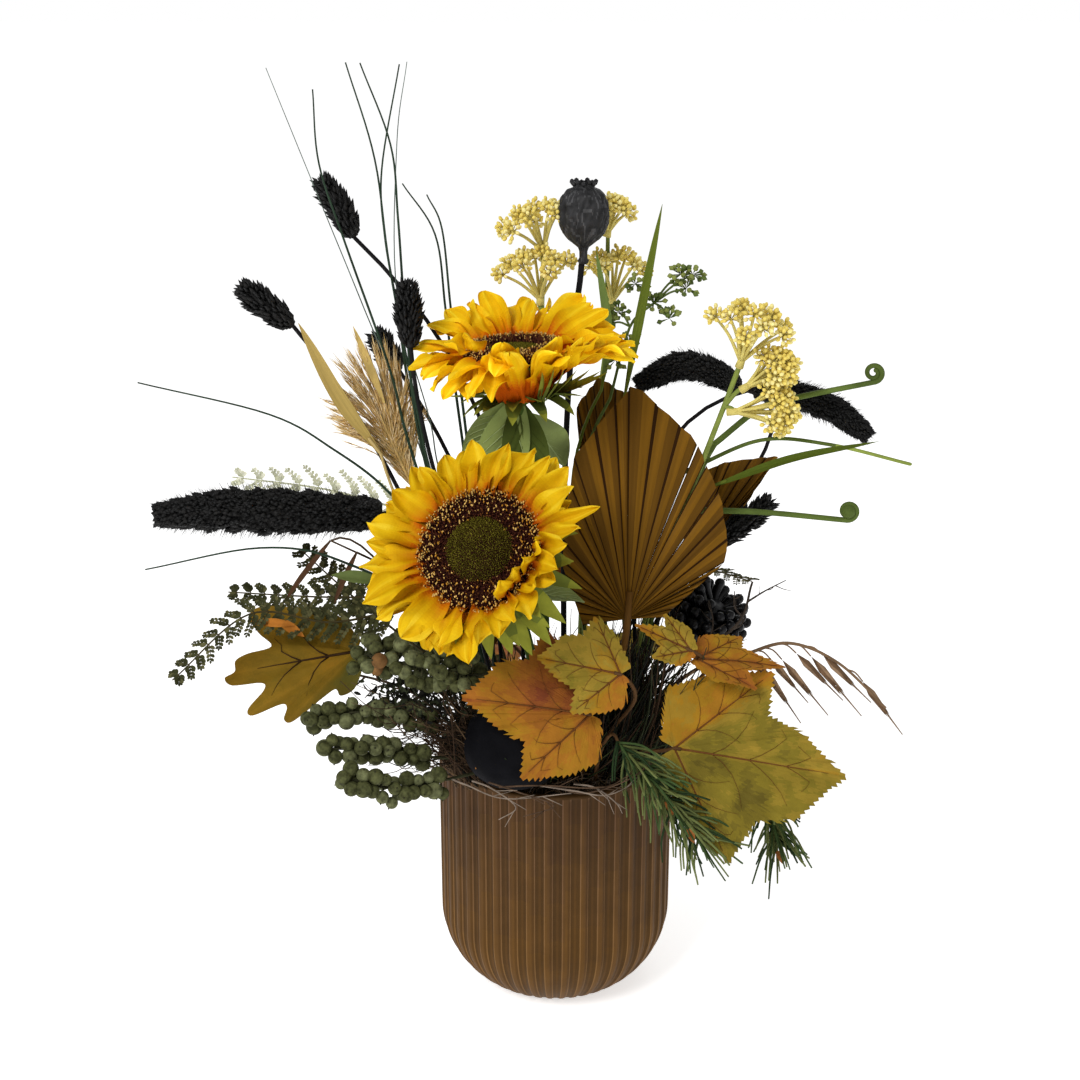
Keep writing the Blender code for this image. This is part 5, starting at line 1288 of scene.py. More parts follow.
def frond(name, spine, pairs, width, face=(0, -0.6, 0.8), pale=False):
    """A fern frond: side fronds in pairs along its rib, each a comb of leaflets. A pale one curls up."""
    chance = random.Random(name)
    line, path = rooted(name, spine, 10)
    heap = Heap()
    stem(heap, path + line[1:], 1.15 * MM, 0.4, 6, 0)
    front = Vector(face).normalized()
    comb = []
    for pair, sign in itertools.product(range(pairs), (1, -1)):
        share = (pair + 0.4) / pairs
        place, heading = station(line, share)
        across = front.cross(heading).normalized()
        length = 0.5 * width * MM * (1.08 - share) ** 0.55 * chance.uniform(0.85, 1.1)
        if length < 3 * MM:
            continue
        out = across * sign + heading * chance.uniform(0.5, 0.65) + front * chance.uniform(-0.2, 0.2)
        out.normalize()
        sag = heading * 0.9 + front * 0.2 if pale else heading * 0.25 - UP * 0.15
        way = smooth([place, place + (out * 0.5 + sag * 0.05) * length,
                      place + (out * 0.95 + sag * 0.45) * length], 6)
        stem(heap, way, 0.45 * MM, 0.5, 4, 0)
        count = max(4, int(length / (2.1 * MM)))
        for leaflet in range(count):
            reach = (leaflet + 0.5) / count
            spot, along = station(way, reach)
            flat = along.cross(front).normalized()
            size = (4.5 - 1.6 * reach) * MM * chance.uniform(0.9, 1.1)
            for side in (1, -1):
                pull = (flat * side + along * 1.1 + front * chance.uniform(-0.1, 0.3)).normalized()
                comb.append((spot, spot + pull * size, size * chance.uniform(0.60, 0.74),
                             front + flat * side * chance.uniform(-0.2, 0.3), chance.choice((1, 1, 1, 2))))
        comb.append((way[-1], way[-1] + (way[-1] - way[-2]).normalized() * 2.2 * MM, 1.4 * MM, front, 1))
    leaflets(heap, *zip(*comb))
    piece(name + "_frond", heap, pale_finishes() if pale else fern_finishes(), name)


@functools.cache
def fern_finishes():
    return finishes(("fern_rib", (0.060, 0.048, 0.020), 0.6, 0.3, 60),
                    ("fern_leaflet", (0.046, 0.048, 0.019), 0.65, 0.4, 160, 0.3, 600),
                    ("fern_olive", (0.105, 0.100, 0.042), 0.65, 0.3, 160, 0.3, 600))


def pale_finishes():
    return finishes(("pale_rib", (0.50, 0.51, 0.34), 0.7, 0.2, 60),
                    ("pale_leaflet", (0.60, 0.61, 0.44), 0.7, 0.2, 160),
                    ("pale_light", (0.78, 0.78, 0.62), 0.7, 0.2, 160))


# ---------------------------------------------------------------- lobed leaves


MAPLE_OUTLINE = ((-140, 0.14), (-72, 0.47), (-57, 0.72), (-34, 0.62), (-22, 0.8), (-6, 0.91), (0, 1.0),
                 (7, 0.85), (15, 0.76), (28, 0.58), (47, 0.75), (72, 0.5), (105, 0.36), (160, 0.08))
NARROW_OUTLINE = ((-150, 0.1), (-70, 0.35), (-34, 0.7), (-18, 0.55), (0, 1.0), (18, 0.55), (34, 0.7),
                  (70, 0.35), (150, 0.1))
OAK_OUTLINE = ((-120, 0.08), (-75, 0.28), (-58, 0.44), (-47, 0.58), (-37, 0.82), (-30, 0.88), (-22, 0.76),
               (-14, 0.64), (-10, 0.82), (-7, 0.91), (-2, 0.92), (0, 1.0), (4.5, 0.95), (8.5, 0.74),
               (13, 0.74), (18, 0.90), (22, 0.89), (26, 0.68), (30, 0.66), (34, 0.73), (39, 0.69),
               (46, 0.42), (53, 0.33), (62, 0.36), (78, 0.29), (100, 0.14), (130, 0.08))
LEAF_WAVE = 2.2 * MM
OAK_VEINS = [math.radians(degrees) for degrees in (-31, -1, 20, 36)]


def leaf_rim(outline, length, tooth, rounded):
    """The rim of a lobed leaf as (angle, reach) pairs, with uneven saw teeth or rounded lobes."""
    flat = [ring(math.radians(degrees), share) * length for degrees, share in outline]
    flat = smooth(flat, 5) if rounded else flat
    chance = random.Random("teeth")
    rim = []
    for start, end in zip(flat, flat[1:]):
        count = max(1, round((end - start).length / (3.6 * MM)))
        outward = (end - start).cross(UP).normalized()
        if outward.dot(start + end) < 0:
            outward = -outward
        peak = 0.78 if end.length > start.length else 0.22
        for step in range(count):
            rim.append(start.lerp(end, (step + chance.uniform(-0.08, 0.08) * (step > 0)) / count))
            if tooth:
                point = start.lerp(end, (step + peak) / count)
                rim.append(point + outward * tooth * chance.uniform(0.5, 1.25))
    rim.append(flat[-1])
    return np.array(sorted((math.atan2(spot.y, spot.x), spot.length) for spot in rim)).T


def tips_of(outline):
    """The angles of an outline's lobes: its points that reach further than both their neighbours."""
    return [math.radians(here[0]) for before, here, after in zip(outline, outline[1:], outline[2:])
            if here[1] > before[1] and here[1] > after[1]]


def lobed_blade(heap, junction, tip, face, outline, cup, tone_of, chance, tooth, rounded, lobes):
    """A lobed leaf with a toothed rim, its surface quilted between veins that fan from the junction.

    tone_of(degrees, share) gives each face its place on the row of leaf tints, and noise mottles it.
    """
    along = tip - junction
    length = along.length
    matrix = lay(junction, along, Vector(face))
    rim_angles, rim_reach = leaf_rim(outline, length, tooth, rounded)
    even = np.linspace(rim_angles[0], rim_angles[-1], 181)
    angles = np.concatenate([rim_angles, even])
    order = np.argsort(angles, kind="stable")
    reach = np.concatenate([rim_reach, np.interp(even, rim_angles, rim_reach)])[order]
    angles = angles[order]
    shares = np.linspace(0, 1, 29)
    seed = chance.uniform(0, 50)

    def spot_on(angle, radius):
        return Vector((radius * math.cos(angle), radius * math.sin(angle), seed))

    def from_vein(angle):
        return min(abs(angle - lobe) for lobe in lobes)

    def raised(angle, rim, share):
        """The place on the leaf's surface at a share of the way to its rim."""
        radius = rim * share
        quilt = 1.5 * MM * min(1.0, from_vein(angle) / 0.28) * min(1.0, share * 2.2)
        spot = spot_on(angle, radius) * 28
        ripple = LEAF_WAVE * share * noise.noise(spot) + 0.5 * MM * share * noise.noise(spot * 4)
        sunk = cup * radius * (rim / length) * (0.4 + 0.6 * share)
        return radius * math.cos(angle), radius * math.sin(angle), -sunk + quilt + ripple

    points = [raised(angle, rim, share) for angle, rim in zip(angles, reach) for share in shares]
    uvs = [(share, (angle + math.pi) / math.tau) for angle in angles for share in shares]
    rows, columns = len(angles) - 1, len(shares) - 1
    tones = []
    for row, column in itertools.product(range(rows), range(columns)):
        middle = 0.5 * (shares[column] + shares[column + 1])
        radius = reach[row] * middle
        spot = spot_on(angles[row], radius)
        speck = 2.6 * noise.noise(spot * 45) + 1.6 * noise.noise(spot * 150) + 0.5 * noise.noise(spot * 500)
        near_vein = 1.7 * max(0.0, 1 - from_vein(angles[row]) * radius / (2.6 * MM))
        tone = tone_of(math.degrees(angles[row]), middle * reach[row] / length) + speck - near_vein
        tones.append(min(LEAF_TINTS - 1, max(0, round(tone))))
    heap.add(placed(matrix, *np.array(points).T), grid_faces(rows, columns), tones, uvs)

    def reach_at(angle):
        return float(np.interp(angle, angles, reach))

    def on_leaf(angle, share):
        x, y, z = raised(angle, reach_at(angle), share)
        return matrix @ Vector((x, y, z + 0.25 * MM))

    for lobe in lobes[1:2] if rounded else lobes:
        rim = reach_at(lobe)
        run = [on_leaf(lobe, share) for share in np.linspace(0.01, 0.78 if rounded else 0.9, 10)]
        width = (1.0 if rounded else 0.7) * MM * (rim / length) ** 0.5
        tube(heap, run, np.linspace(width, 0.15 * MM, 10), 5, LEAF_TINTS)
        for branch, sign in itertools.product(range(1, 3 if rounded else 4), (1, -1)):
            share = branch / 4.6
            side = []
            for step in range(5):
                t = step / 4
                fan = lobe + sign * 0.36 * t * (1.15 - share) / (share + 0.35)
                side.append(on_leaf(fan, min(0.88, rim * (share + 0.30 * t) / reach_at(fan))))
            tube(heap, side, np.linspace(0.6 if rounded else 0.23, 0.09, 5) * MM, 3, LEAF_TINTS)


LEAF_TINTS = 13
AUTUMN_KEYS = ((0.20, 0.050, 0.018), (0.29, 0.092, 0.018), (0.36, 0.145, 0.016), (0.35, 0.182, 0.014),
               (0.30, 0.200, 0.026), (0.205, 0.155, 0.018), (0.125, 0.095, 0.014))
OAK_KEYS = ((0.28, 0.140, 0.010), (0.22, 0.122, 0.010), (0.165, 0.098, 0.008), (0.120, 0.082, 0.008),
            (0.082, 0.078, 0.014))


def blend(value, low, high):
    """0 below low, 1 above high, and a smooth rise between them."""
    share = max(0.0, min(1.0, (value - low) / (high - low)))
    return share * share * (3 - 2 * share)


@functools.cache
def autumn_finishes():
    """A row of tints from red orange over gold to olive and brown, then the veins and the stalk."""
    return tinted("autumn", between(AUTUMN_KEYS, LEAF_TINTS), 0.12, 90, 0.35, 600) + finishes(
        ("autumn_vein", (0.150, 0.058, 0.016), 0.6, 0.14, 55, 0.35, 600),
        ("autumn_stalk", (0.10, 0.050, 0.020), 0.6, 0.14, 55, 0.35, 600))


def front_tones(degrees, share):
    """Orange, red brown next to the stalk and on one side, gold on the other side and at the rim."""
    red = 1.4 + 2.2 * share
    gold = 5.4
    return red + (gold - red) * blend(degrees, -20, 35) + 1.6 * blend(share, 0.62, 1.0)


def small_tones(degrees, share):
    """Gold green, with an orange lobe on the far side and gold at the rim."""
    green = 8.6 - 1.6 * blend(share, 0.6, 0.95)
    return green + (3.8 + share - green) * blend(degrees, 46, 68)


def right_tones(degrees, share):
    """Olive, turning amber in the upper lobe, by the stalk and at the tip."""
    olive = 10.4 - 1.6 * blend(share, 0.7, 1.0) - 1.4 * blend(-share, -0.22, -0.02)
    amber = 7.0 - 2.4 * share
    return olive + (amber - olive) * blend(degrees, 24, 54)


def pair_tones(degrees, share):
    return 4.2 + 1.2 * share


def back_tones(degrees, share):
    return 3.6 + 1.5 * share


def lobed_leaf(name, blades, tones, outline=MAPLE_OUTLINE, tooth=1.5 * MM):
    """Lobed leaves on one wired twig: the twig runs to the first, and others branch from it."""
    chance = random.Random(name)
    oak = outline is OAK_OUTLINE
    lobes = OAK_VEINS if oak else tips_of(outline)
    first = at(*blades[0][0])
    heading = (at(*blades[0][1]) - first).normalized()
    path = grown(name, first, heading + 0.5 * UP)
    heap = Heap()
    stem(heap, path + [first + heading * 4 * MM], 1.4 * MM, 0.8, 7, LEAF_TINTS + 1)
    for index, (junction, tip, face, cup) in enumerate(blades):
        if index:
            stem(heap, [path[-1], at(*junction)], 1.1 * MM, 0.8, 6, LEAF_TINTS + 1)
        lobed_blade(heap, at(*junction), at(*tip), face, outline, cup, tones[index], chance, tooth, oak,
                    lobes)
    if oak:
        oak_scrap(heap)
    piece(name + "_leaf", heap, oak_finishes() if oak else autumn_finishes(), name)


@functools.cache
def oak_finishes():
    """A row of tints from gold over brown to olive, then the veins, the stalk and the orange scrap."""
    return tinted("oak", between(OAK_KEYS, LEAF_TINTS), 0.12, 60, 0.35, 600) + finishes(
        ("oak_vein", (0.040, 0.020, 0.008), 0.6), ("oak_stalk", (0.085, 0.045, 0.02), 0.6),
        ("oak_scrap", (0.37, 0.135, 0.02), 0.6, 0.2, 90, 0.35, 600))


def oak_tones(degrees, share):
    return 4.4 + 7.0 * blend(degrees, 12, 60) * (1 - 0.5 * share)


def oak_scrap(heap):
    """A torn orange leaf piece that lies along the oak leaf's upper edge."""
    sheet(heap, lay(at(-158, -42, 258), Vector((-1, 0, 0.10)), Vector((0, -0.8, 0.6))), 28 * MM, 5 * MM,
          oval_profile, 8, 4, LEAF_TINTS + 2, droop=0.3, fold=0.5, ruffle=0.35, crease=0.4 * MM, phase=2.0)
    sheet(heap, lay(at(-164, -42, 259), Vector((0.8, 0.05, -0.62)), Vector((0, -0.9, 0.4))), 15 * MM, 6 * MM,
          bract_profile, 6, 4, LEAF_TINTS + 2, droop=0.1, fold=0.4)


def plain_leaves():
    """Three narrow plain leaves at the left: two brown, one green."""
    name = "plain_leaves"
    chance = random.Random(name)
    leaves = (((-136, -26, 306), (-168, -30, 268), 4), ((-120, -30, 300), (-136, -34, 268), 4),
              ((-104, -38, 284), (-134, -42, 291), 8))
    first = at(*leaves[0][0])
    path = grown(name, first, at(*leaves[0][1]) - first)
    heap = Heap()
    stem(heap, path, 1.1 * MM, 0.6, 6, 2)
    for number, (root, tip, width) in enumerate(leaves):
        start, end = at(*root), at(*tip)
        stem(heap, [station(path, 0.8)[0], start, start.lerp(end, 0.1)], 0.7 * MM, 0.7, 5, 2)
        sheet(heap, lay(start, end - start, FRONT + UP), (end - start).length, width * MM, oval_profile, 12,
              6, number // 2, droop=0.2, fold=0.4, ruffle=0.12, crease=0.3 * MM, phase=chance.uniform(0, 6))
    piece("plain_leaves_twig", heap, finishes(
        ("plain_brown", (0.075, 0.036, 0.018), 0.6, 0.3, 50, 0.3, 500),
        ("plain_green", (0.115, 0.150, 0.045), 0.6, 0.2, 50, 0.3, 500),
        ("plain_stalk", (0.055, 0.036, 0.020), 0.7)), name)


# ---------------------------------------------------------------- berries and gourd


BERRY_RADIUS = 4.9 * MM


def berry_spray(name, spine, berries, tawny=(), spread=1.5):
    """A sprig with round berries crowded along it, each with a small nub and a short stalk."""
    chance = random.Random(name)
    line, path = rooted(name, spine, 10)
    heap = Heap()
    stem(heap, path + line[1:], 1.2 * MM, 0.6, 6, 3)
    fruit, nubs = [], []
    for index in range(berries):
        place, heading = station(line, (index + 0.5) / berries)
        side = around(heading, 2.2 * index + chance.uniform(-0.5, 0.5))
        size = BERRY_RADIUS * chance.uniform(0.72, 1.08)
        centre = place + side * chance.uniform(0.8, spread) * BERRY_RADIUS
        stem(heap, [place, centre], 0.6 * MM, 0.9, 4, 3)
        nub = (side + heading * chance.uniform(0.0, 0.9)).normalized()
        fruit.append((centre, size, 2 if index in tawny else chance.choice((0, 0, 1))))
        nubs.append((centre + nub * size * 0.9, centre + nub * (size + 1.1 * MM)))
    fruit.append((line[-1], BERRY_RADIUS * 0.9, 0))
    balls(heap, *zip(*fruit), 3)
    darts(heap, *zip(*nubs), 0.65 * MM, 3, 5, 0.3)
    piece(name + "_sprig", heap, finishes(
        (name + "_green", (0.064, 0.068, 0.026), 0.6, 0.55, 330, 0.9, 700),
        (name + "_light", (0.120, 0.128, 0.058), 0.6, 0.5, 330, 0.9, 700),
        (name + "_tawny", (0.17, 0.085, 0.030), 0.6, 0.4, 200, 0.5, 900),
        (name + "_stalk", (0.040, 0.040, 0.020), 0.7, 0.3, 60)), name)


GOURD_RADIUS = 31 * MM
GOURD_SQUASH = 0.9                  # its height as a share of its width


def gourd():
    """A round black gourd, faintly ribbed, with a dry nub and specks of bare orange."""
    name = "gourd"
    middle = at(-25, -64, 190)
    profile = []
    for step in range(41):
        angle = math.pi * step / 40
        dip = 1 - 0.16 * abs(math.cos(angle)) ** 8
        profile.append((GOURD_RADIUS * math.sin(angle), GOURD_RADIUS * GOURD_SQUASH * dip * math.cos(angle)))
    heap = Heap()
    turned(heap, profile, 96, Matrix.Translation(middle),
           swell=lambda angles, share: 1 + 0.014 * np.cos(9 * angles))
    top = GOURD_SQUASH * GOURD_RADIUS / MM
    stem(heap, [middle + at(x, 0, top + rise) for x, rise in ((0, -5), (2, 2), (4, 7))], 2.8 * MM, 0.8, 9, 1)
    foot = Vector((-20 * MM, -44 * MM, FILLING_TOP))
    stem(heap, [foot, foot.lerp(middle, 0.55)], 2 * MM, 1.0, 8, 1)
    piece("gourd_body", heap, [
        finish("gourd_black", (0.006, 0.006, 0.0075), 0.75, 0.6, 30, 0.4, 200, specular=0.03),
        finish("gourd_nub", (0.05, 0.035, 0.022), 0.8)], name)
    chance = random.Random("specks")
    flecks = Heap()
    for _ in range(9):
        angle, rise = chance.uniform(-2.9, -0.4), chance.uniform(-0.75, 0.2)
        outward = Vector((math.cos(angle) * math.cos(rise), math.sin(angle) * math.cos(rise),
                          math.sin(rise) * GOURD_SQUASH))
        balls(flecks, [middle + outward * GOURD_RADIUS * 1.002], chance.uniform(0.6, 1.5) * MM, 0, 1,
              [outward * 0.18])
    piece("gourd_flecks", flecks, [finish("gourd_orange", (0.30, 0.13, 0.03), 0.7, 0.4, 300)], name)


# ---------------------------------------------------------------- pine, cone, oats and twigs


def pine_sprig(name, spine, needles, needle_length, buds=()):
    """A drooping shoot of pine: long needles all round it and past its end, with brown bud scales."""
    chance = random.Random(name)
    line, path = rooted(name, spine, 10)
    heap = Heap()
    stem(heap, path + line[1:-4], 1.4 * MM, 0.3, 7, 2)
    for index in range(needles):
        place, heading = station(line, 0.92 * index / needles)
        side = around(heading, index * GOLDEN_TURN)
        direction = (heading + side * chance.uniform(0.25, 1.3)).normalized()
        length = needle_length * MM * chance.uniform(0.6, 1.1)
        bow = place + direction * length * 0.5 + side * chance.uniform(-0.04, 0.14) * length
        tip = place + direction * length - UP * chance.uniform(0, 0.12) * length
        stem(heap, smooth([place, bow, tip], 4), 0.95 * MM, 0.6, 4, chance.choice((0, 0, 1, 1, 1, 4)))
    for place in buds:
        sheet(heap, lay(at(*place), Vector((0.4, -0.5, -0.8)), Vector((0.2, -0.9, 0.2))), 9 * MM, 4.5 * MM,
              bract_profile, 6, 4, 3, fold=0.5, droop=0.3)
    piece(name + "_needles", heap, pine_finishes(), name)


@functools.cache
def pine_finishes():
    return finishes(("pine_green", (0.050, 0.085, 0.027), 0.5, 0.3, 60, 0),
                    ("pine_light", (0.135, 0.160, 0.052), 0.5, 0.3, 60, 0),
                    ("pine_bark", (0.10, 0.050, 0.020), 0.8, 0.3, 120, 0.6, 500),
                    ("pine_scale", (0.36, 0.13, 0.035), 0.7, 0.3, 120),
                    ("pine_dark", (0.022, 0.042, 0.016), 0.5, 0.3, 60, 0))


def pine_cone():
    """A glossy black cone: long blunt scales stand out of it in a spiral."""
    name = "pine_cone"
    chance = random.Random(name)
    line, path = rooted(name, ((84, 34, 216), (104, 24, 246)), 20, 5)
    heap = Heap()
    swollen_tube(heap, line, 16 * MM, 0)
    stem(heap, path + [line[6]], 1.8 * MM, 0.9, 7, 0)
    for _, share, place, heading, side in spiral(line, 72):
        reach = 29 * MM * (0.42 + 0.58 * math.sin(math.pi * (0.2 + 0.7 * share))) * chance.uniform(0.85, 1.0)
        tip = place + side * reach * 0.92 + heading * 0.42 * reach
        root = place + side * 0.3 * reach
        run = smooth([root, root.lerp(tip, 0.6) - heading * 0.04 * reach, tip], 4)
        tube(heap, run, [(1.6 + 1.9 * step / 8) * MM for step in range(9)], 7, 0)
        balls(heap, [tip], 3.5 * MM, 0, 2, [side * 0.85])
    piece("pine_cone_scales", heap,
          [finish("cone_black", (0.004, 0.004, 0.005), 0.3, 0.5, 200, 0.4, 300, specular=0.2)],
          name)


def spikelet(heap, hang, tip):
    """A long husk of wild oats on a fine stalk: two ribbed halves that open a little, with a long beak."""
    run = tip - hang
    neck = hang + 0.28 * run + 0.08 * run.length * UP
    stem(heap, smooth([hang, hang.lerp(neck, 0.5) + 0.04 * run.length * UP, neck], 3), 0.6 * MM, 0.8, 5, 1)
    way = tip - neck
    body = 0.62 * way.length
    for side in (1, -1):
        heading = way + around(way, 0.6) * 0.05 * way.length * side
        darts(heap, [neck], [neck + heading.normalized() * body], 2.0 * MM, 1 - side, 8, 0.36)
        start = neck + 0.2 * way
        darts(heap, [start], [start + heading.normalized() * 0.75 * body], 1.0 * MM, 0, 6, 0.4)
    stem(heap, [neck + 0.5 * way, tip], 0.7 * MM, 0.45, 5, 1)


def oats():
    """A nodding stalk of wild oats with long bronze husks that hang from it one by one."""
    name = "oats_right"
    line = smooth(places(((118, 18, 213), (147, 4, 228), (176, -14, 222), (204, -32, 199))), 10)
    heap = Heap()
    stem(heap, grown(name, line[0], line[5] - line[0]) + line[1:], 1.5 * MM, 0.5, 7, 1)
    hanging = ((0.02, (147, -5, 192)), (0.06, (156, -8, 178)), (0.12, (160, -8, 192)),
               (0.17, (172, -14, 186)), (0.26, (180, -18, 198)), (0.34, (191, -24, 190)),
               (0.42, (196, -26, 200)), (0.70, (215, -34, 182)))
    for share, tip in hanging:
        spikelet(heap, station(line, share)[0], at(*tip))
    piece("oats_right_stalk", heap,
          finishes(("oats_husk", (0.150, 0.088, 0.048), 0.6, 0.3, 200),
                   ("oats_stalk", (0.200, 0.125, 0.070), 0.6, 0.2, 60),
                   ("oats_husk_pale", (0.270, 0.175, 0.105), 0.6, 0.3, 200)), name)


def twiggy(name, spine, twigs, twig_length, colour):
    """A bare twig that branches, with fine curly shoots."""
    chance = random.Random(name)
    line, path = rooted(name, spine, 8)
    heap = Heap()
    whole = path + line[1:]
    stem(heap, whole, 1.4 * MM, 0.5, 6, 0)
    for index in range(twigs):
        place, heading = station(whole, 0.12 + 0.86 * index / twigs)
        side = around(heading, index * GOLDEN_TURN)
        length = twig_length * MM * chance.uniform(0.5, 1.1)
        tip = place + (heading * 0.7 + side).normalized() * length
        kink = place.lerp(tip, 0.5) + around(tip - place, chance.uniform(0, 6)) * 0.12 * length
        way = smooth([place, kink, tip], 4)
        stem(heap, way, 0.75 * MM, 0.4, 5, 0)
        for fine in range(3):
            spot, run = station(way, 0.35 + 0.2 * fine)
            way_out = (run + around(run, chance.uniform(0, 6))).normalized()
            end = spot + way_out * length * chance.uniform(0.25, 0.5)
            bow = spot.lerp(end, 0.5) + around(run, 2) * 1 * MM
            stem(heap, smooth([spot, bow, end], 3), 0.4 * MM, 0.4, 4, 0)
    piece(name + "_twig", heap, [finish(name + "_bark", colour, 0.85, 0.3, 120, 0.5, 500)], name)


def arrangement():
    """Everything that stands in the filling beside the two sunflowers."""
    palm_spear("palm_spear_front", (43, -35, 259),
               ((16, -30, 253), (3, -25, 291), (11, -8, 356), (47, 8, 396), (85, 0, 364), (101, -10, 328),
                (105, -16, 303), (103, -20, 290), (65, -30, 258)), (0.05, -0.95, 0.3), 25,
                widths=(0.5, 0.5, 0.5, 0.6, 0.6, 0.7, 1.3, 0.9, 1.1, 1.4, 1.2, 0.8, 1.5, 1.2, 1.0, 0.8, 1.2,
                        1.0, 0.9, 0.9, 0.8, 0.7, 0.6, 0.6, 0.5), slits=(15, 16, 20))
    palm_spear("palm_spear_back", (36, 72, 275),
               ((18, 80, 312), (13, 84, 366), (28, 86, 386), (60, 86, 366), (66, 82, 318)), (0, 0.9, 0.3), 14)
    palm_spear("palm_spear_right", (84, 50, 262), ((84, 58, 322), (110, 60, 332), (147, 62, 337),
                                                   (131, 58, 314), (112, 54, 282)), (0.1, -0.9, 0.4), 12)
    palm_spear("palm_spear_left", (-42, 52, 205), ((-86, 62, 250), (-84, 66, 290), (-52, 74, 326),
                                                   (-14, 66, 292), (-12, 60, 250)), (0, 0.95, 0.3), 18)
    pine_cone()
    wiry_tuft("wiry_grass", (
        ((-86, 2, 346), (-100, 2, 405), (-124, 4, 479), (-138, 6, 525), (-140, 6, 567)),
        ((-82, 16, 346), (-116, 20, 438), (-141, 26, 502), (-170, 30, 578)),
        ((-74, 0, 330), (-83, 0, 374), (-98, 0, 465), (-105, 0, 528), (-120, 0, 582)),
        ((-80, 4, 346), (-89, -2, 430), (-92, -6, 495), (-95, -8, 537), (-111, -8, 582)),
        ((-84, 18, 360), (-96, 20, 438), (-103, 26, 482), (-104, 30, 520), (-92, 30, 580)),
        ((-70, 8, 330), (-77, 6, 373), (-95, 8, 449), (-93, 10, 536), (-86, 10, 582)),
        ((-62, 50, 370), (-69, 56, 431), (-75, 62, 477), (-95, 66, 508)),
        ((-58, 40, 370), (-65, 44, 433), (-70, 50, 482), (-79, 50, 503))), (-34, 14), thin=(1, 5))
    wiry_tuft("wiry_grass_low", (
        ((-80, -16, 300), (-102, -20, 336), (-132, -24, 362), (-169, -26, 384), (-244, -30, 404)),
        ((-84, -30, 262), (-129, -40, 298), (-174, -52, 310), (-240, -62, 300))), (-54, -6))
    poppy_pod()
    umbel("umbel_left", (((-10, 66, 437), (-0.05, 0, 1), 28, 28), ((-8, 76, 466), (-0.3, 0.1, 1), 26, 27)),
          10)
    umbel("umbel_right_back", (((37, 90, 432), (0.1, 0, 1), 22, 30), ((33, 84, 476), (0.2, 0, 1), 12, 20)), 8)
    umbel("umbel_right", (((110, -4, 412), (0.25, -0.2, 0.9), 26, 32),
                          ((108, -2, 380), (1, -0.3, 0.1), 17, 34),
                          ((114, -4, 396), (0.8, -0.3, 0.6), 12, 30)), 11)
    bud_spray()
    blade("blade_tall", ((43, 50, 374), (54, 50, 438), (65, 54, 497)), 6, GREEN, GREEN)
    blade("blade_back", ((29, 56, 380), (33, 58, 415), (25, 62, 468)), 6, (0.15, 0.21, 0.055), GREEN)
    blade("blade_right", ((90, 14, 326), (139, -16, 354), (186, -46, 373)), 6, (0.075, 0.105, 0.012), GREEN,
          face=(0, -0.7, 0.7))
    blade("straw_blade", ((-106, -10, 356), (-128, -20, 392), (-149, -30, 439)), 9, (0.40, 0.285, 0.085),
          (0.50, 0.37, 0.15))
    round_grass()
    fiddlehead("fiddlehead_upper", ((99, 28, 352), (125, 18, 377), (147, 10, 386), (191, -1, 398)), 5.6)
    fiddlehead("fiddlehead_lower", ((92, 24, 310), (130, 16, 311), (181, 9, 308)), 6, ball_end=True)
    grass_head = dict(radius=8, scales=170, scale_length=8.5, thick=1.5, lean=0.40)
    seed_spike("seed_head_tall", ((-122, 30, 480), (-130, 30, 497), (-140, 30, 513)), **grass_head)
    seed_spike("seed_head_left", ((-153, -26, 437), (-165, -30, 447), (-179, -32, 459)), **grass_head)
    seed_spike("seed_head_middle", ((-86, -12, 421), (-87, -10, 438), (-88, -8, 457)), **grass_head)
    seed_spike("seed_head_behind", ((-98, 42, 396), (-105, 40, 408), (-111, 38, 419)), radius=7.5, scales=150,
               scale_length=8, thick=1.4)
    seed_spike("seed_head_right", ((104, 36, 284), (120, 36, 298), (136, 35, 312)), **grass_head)
    seed_spike("foxtail_left", ((-108, 10, 312), (-158, 6, 314), (-200, 4, 316), (-246, 0, 314)), radius=18.5,
               scales=1900, scale_length=5.2, thick=1.9, bristles=1500)
    seed_spike("foxtail_right", ((124, 42, 384), (150, 36, 381), (174, 28, 373), (193, 20, 359)), radius=11,
               scales=1150, scale_length=4.6, thick=1.4, bristles=1200)
    seed_spike("foxtail_behind", ((117, 62, 380), (101, 60, 390), (79, 60, 395), (52, 60, 383)), radius=11,
               scales=760, scale_length=4.8, thick=1.5, bristles=900)
    plume()
    frond("fern_front", ((-99, -20, 259), (-138, -30, 255), (-185, -40, 264), (-228, -66, 232)), 18, 38)
    frond("fern_middle", ((-101, 12, 256), (-150, 18, 254), (-208, 16, 258)), 12, 34)
    frond("fern_high", ((-106, 26, 230), (-137, 34, 254), (-165, 40, 279)), 10, 40)
    frond("fern_pale", ((-100, 58, 300), (-150, 64, 312), (-212, 72, 318)), 9, 36, pale=True)
    frond("fern_back_left", ((-60, 66, 225), (-96, 92, 240), (-138, 112, 226)), 12, 50, (0, 0.5, 0.85))
    frond("fern_back_right", ((62, 62, 232), (98, 92, 246), (138, 116, 230)), 12, 50, (0, 0.5, 0.85))
    lobed_leaf("lobed_leaf_front", (((19, -80, 216), (-50, -106, 240), (0.4, -0.75, 0.53), 0.12),),
               [front_tones], tooth=2.1 * MM)
    lobed_leaf("lobed_leaf_small", (((37, -76, 240), (-10, -88, 256), (0.5, -0.75, 0.4), 0.1),),
               [small_tones], tooth=1.6 * MM)
    lobed_leaf("lobed_leaf_right", (((70, -75, 192), (170, -92, 184), (-0.12, -0.78, 0.61), 0.1),),
               [right_tones], tooth=2.1 * MM)
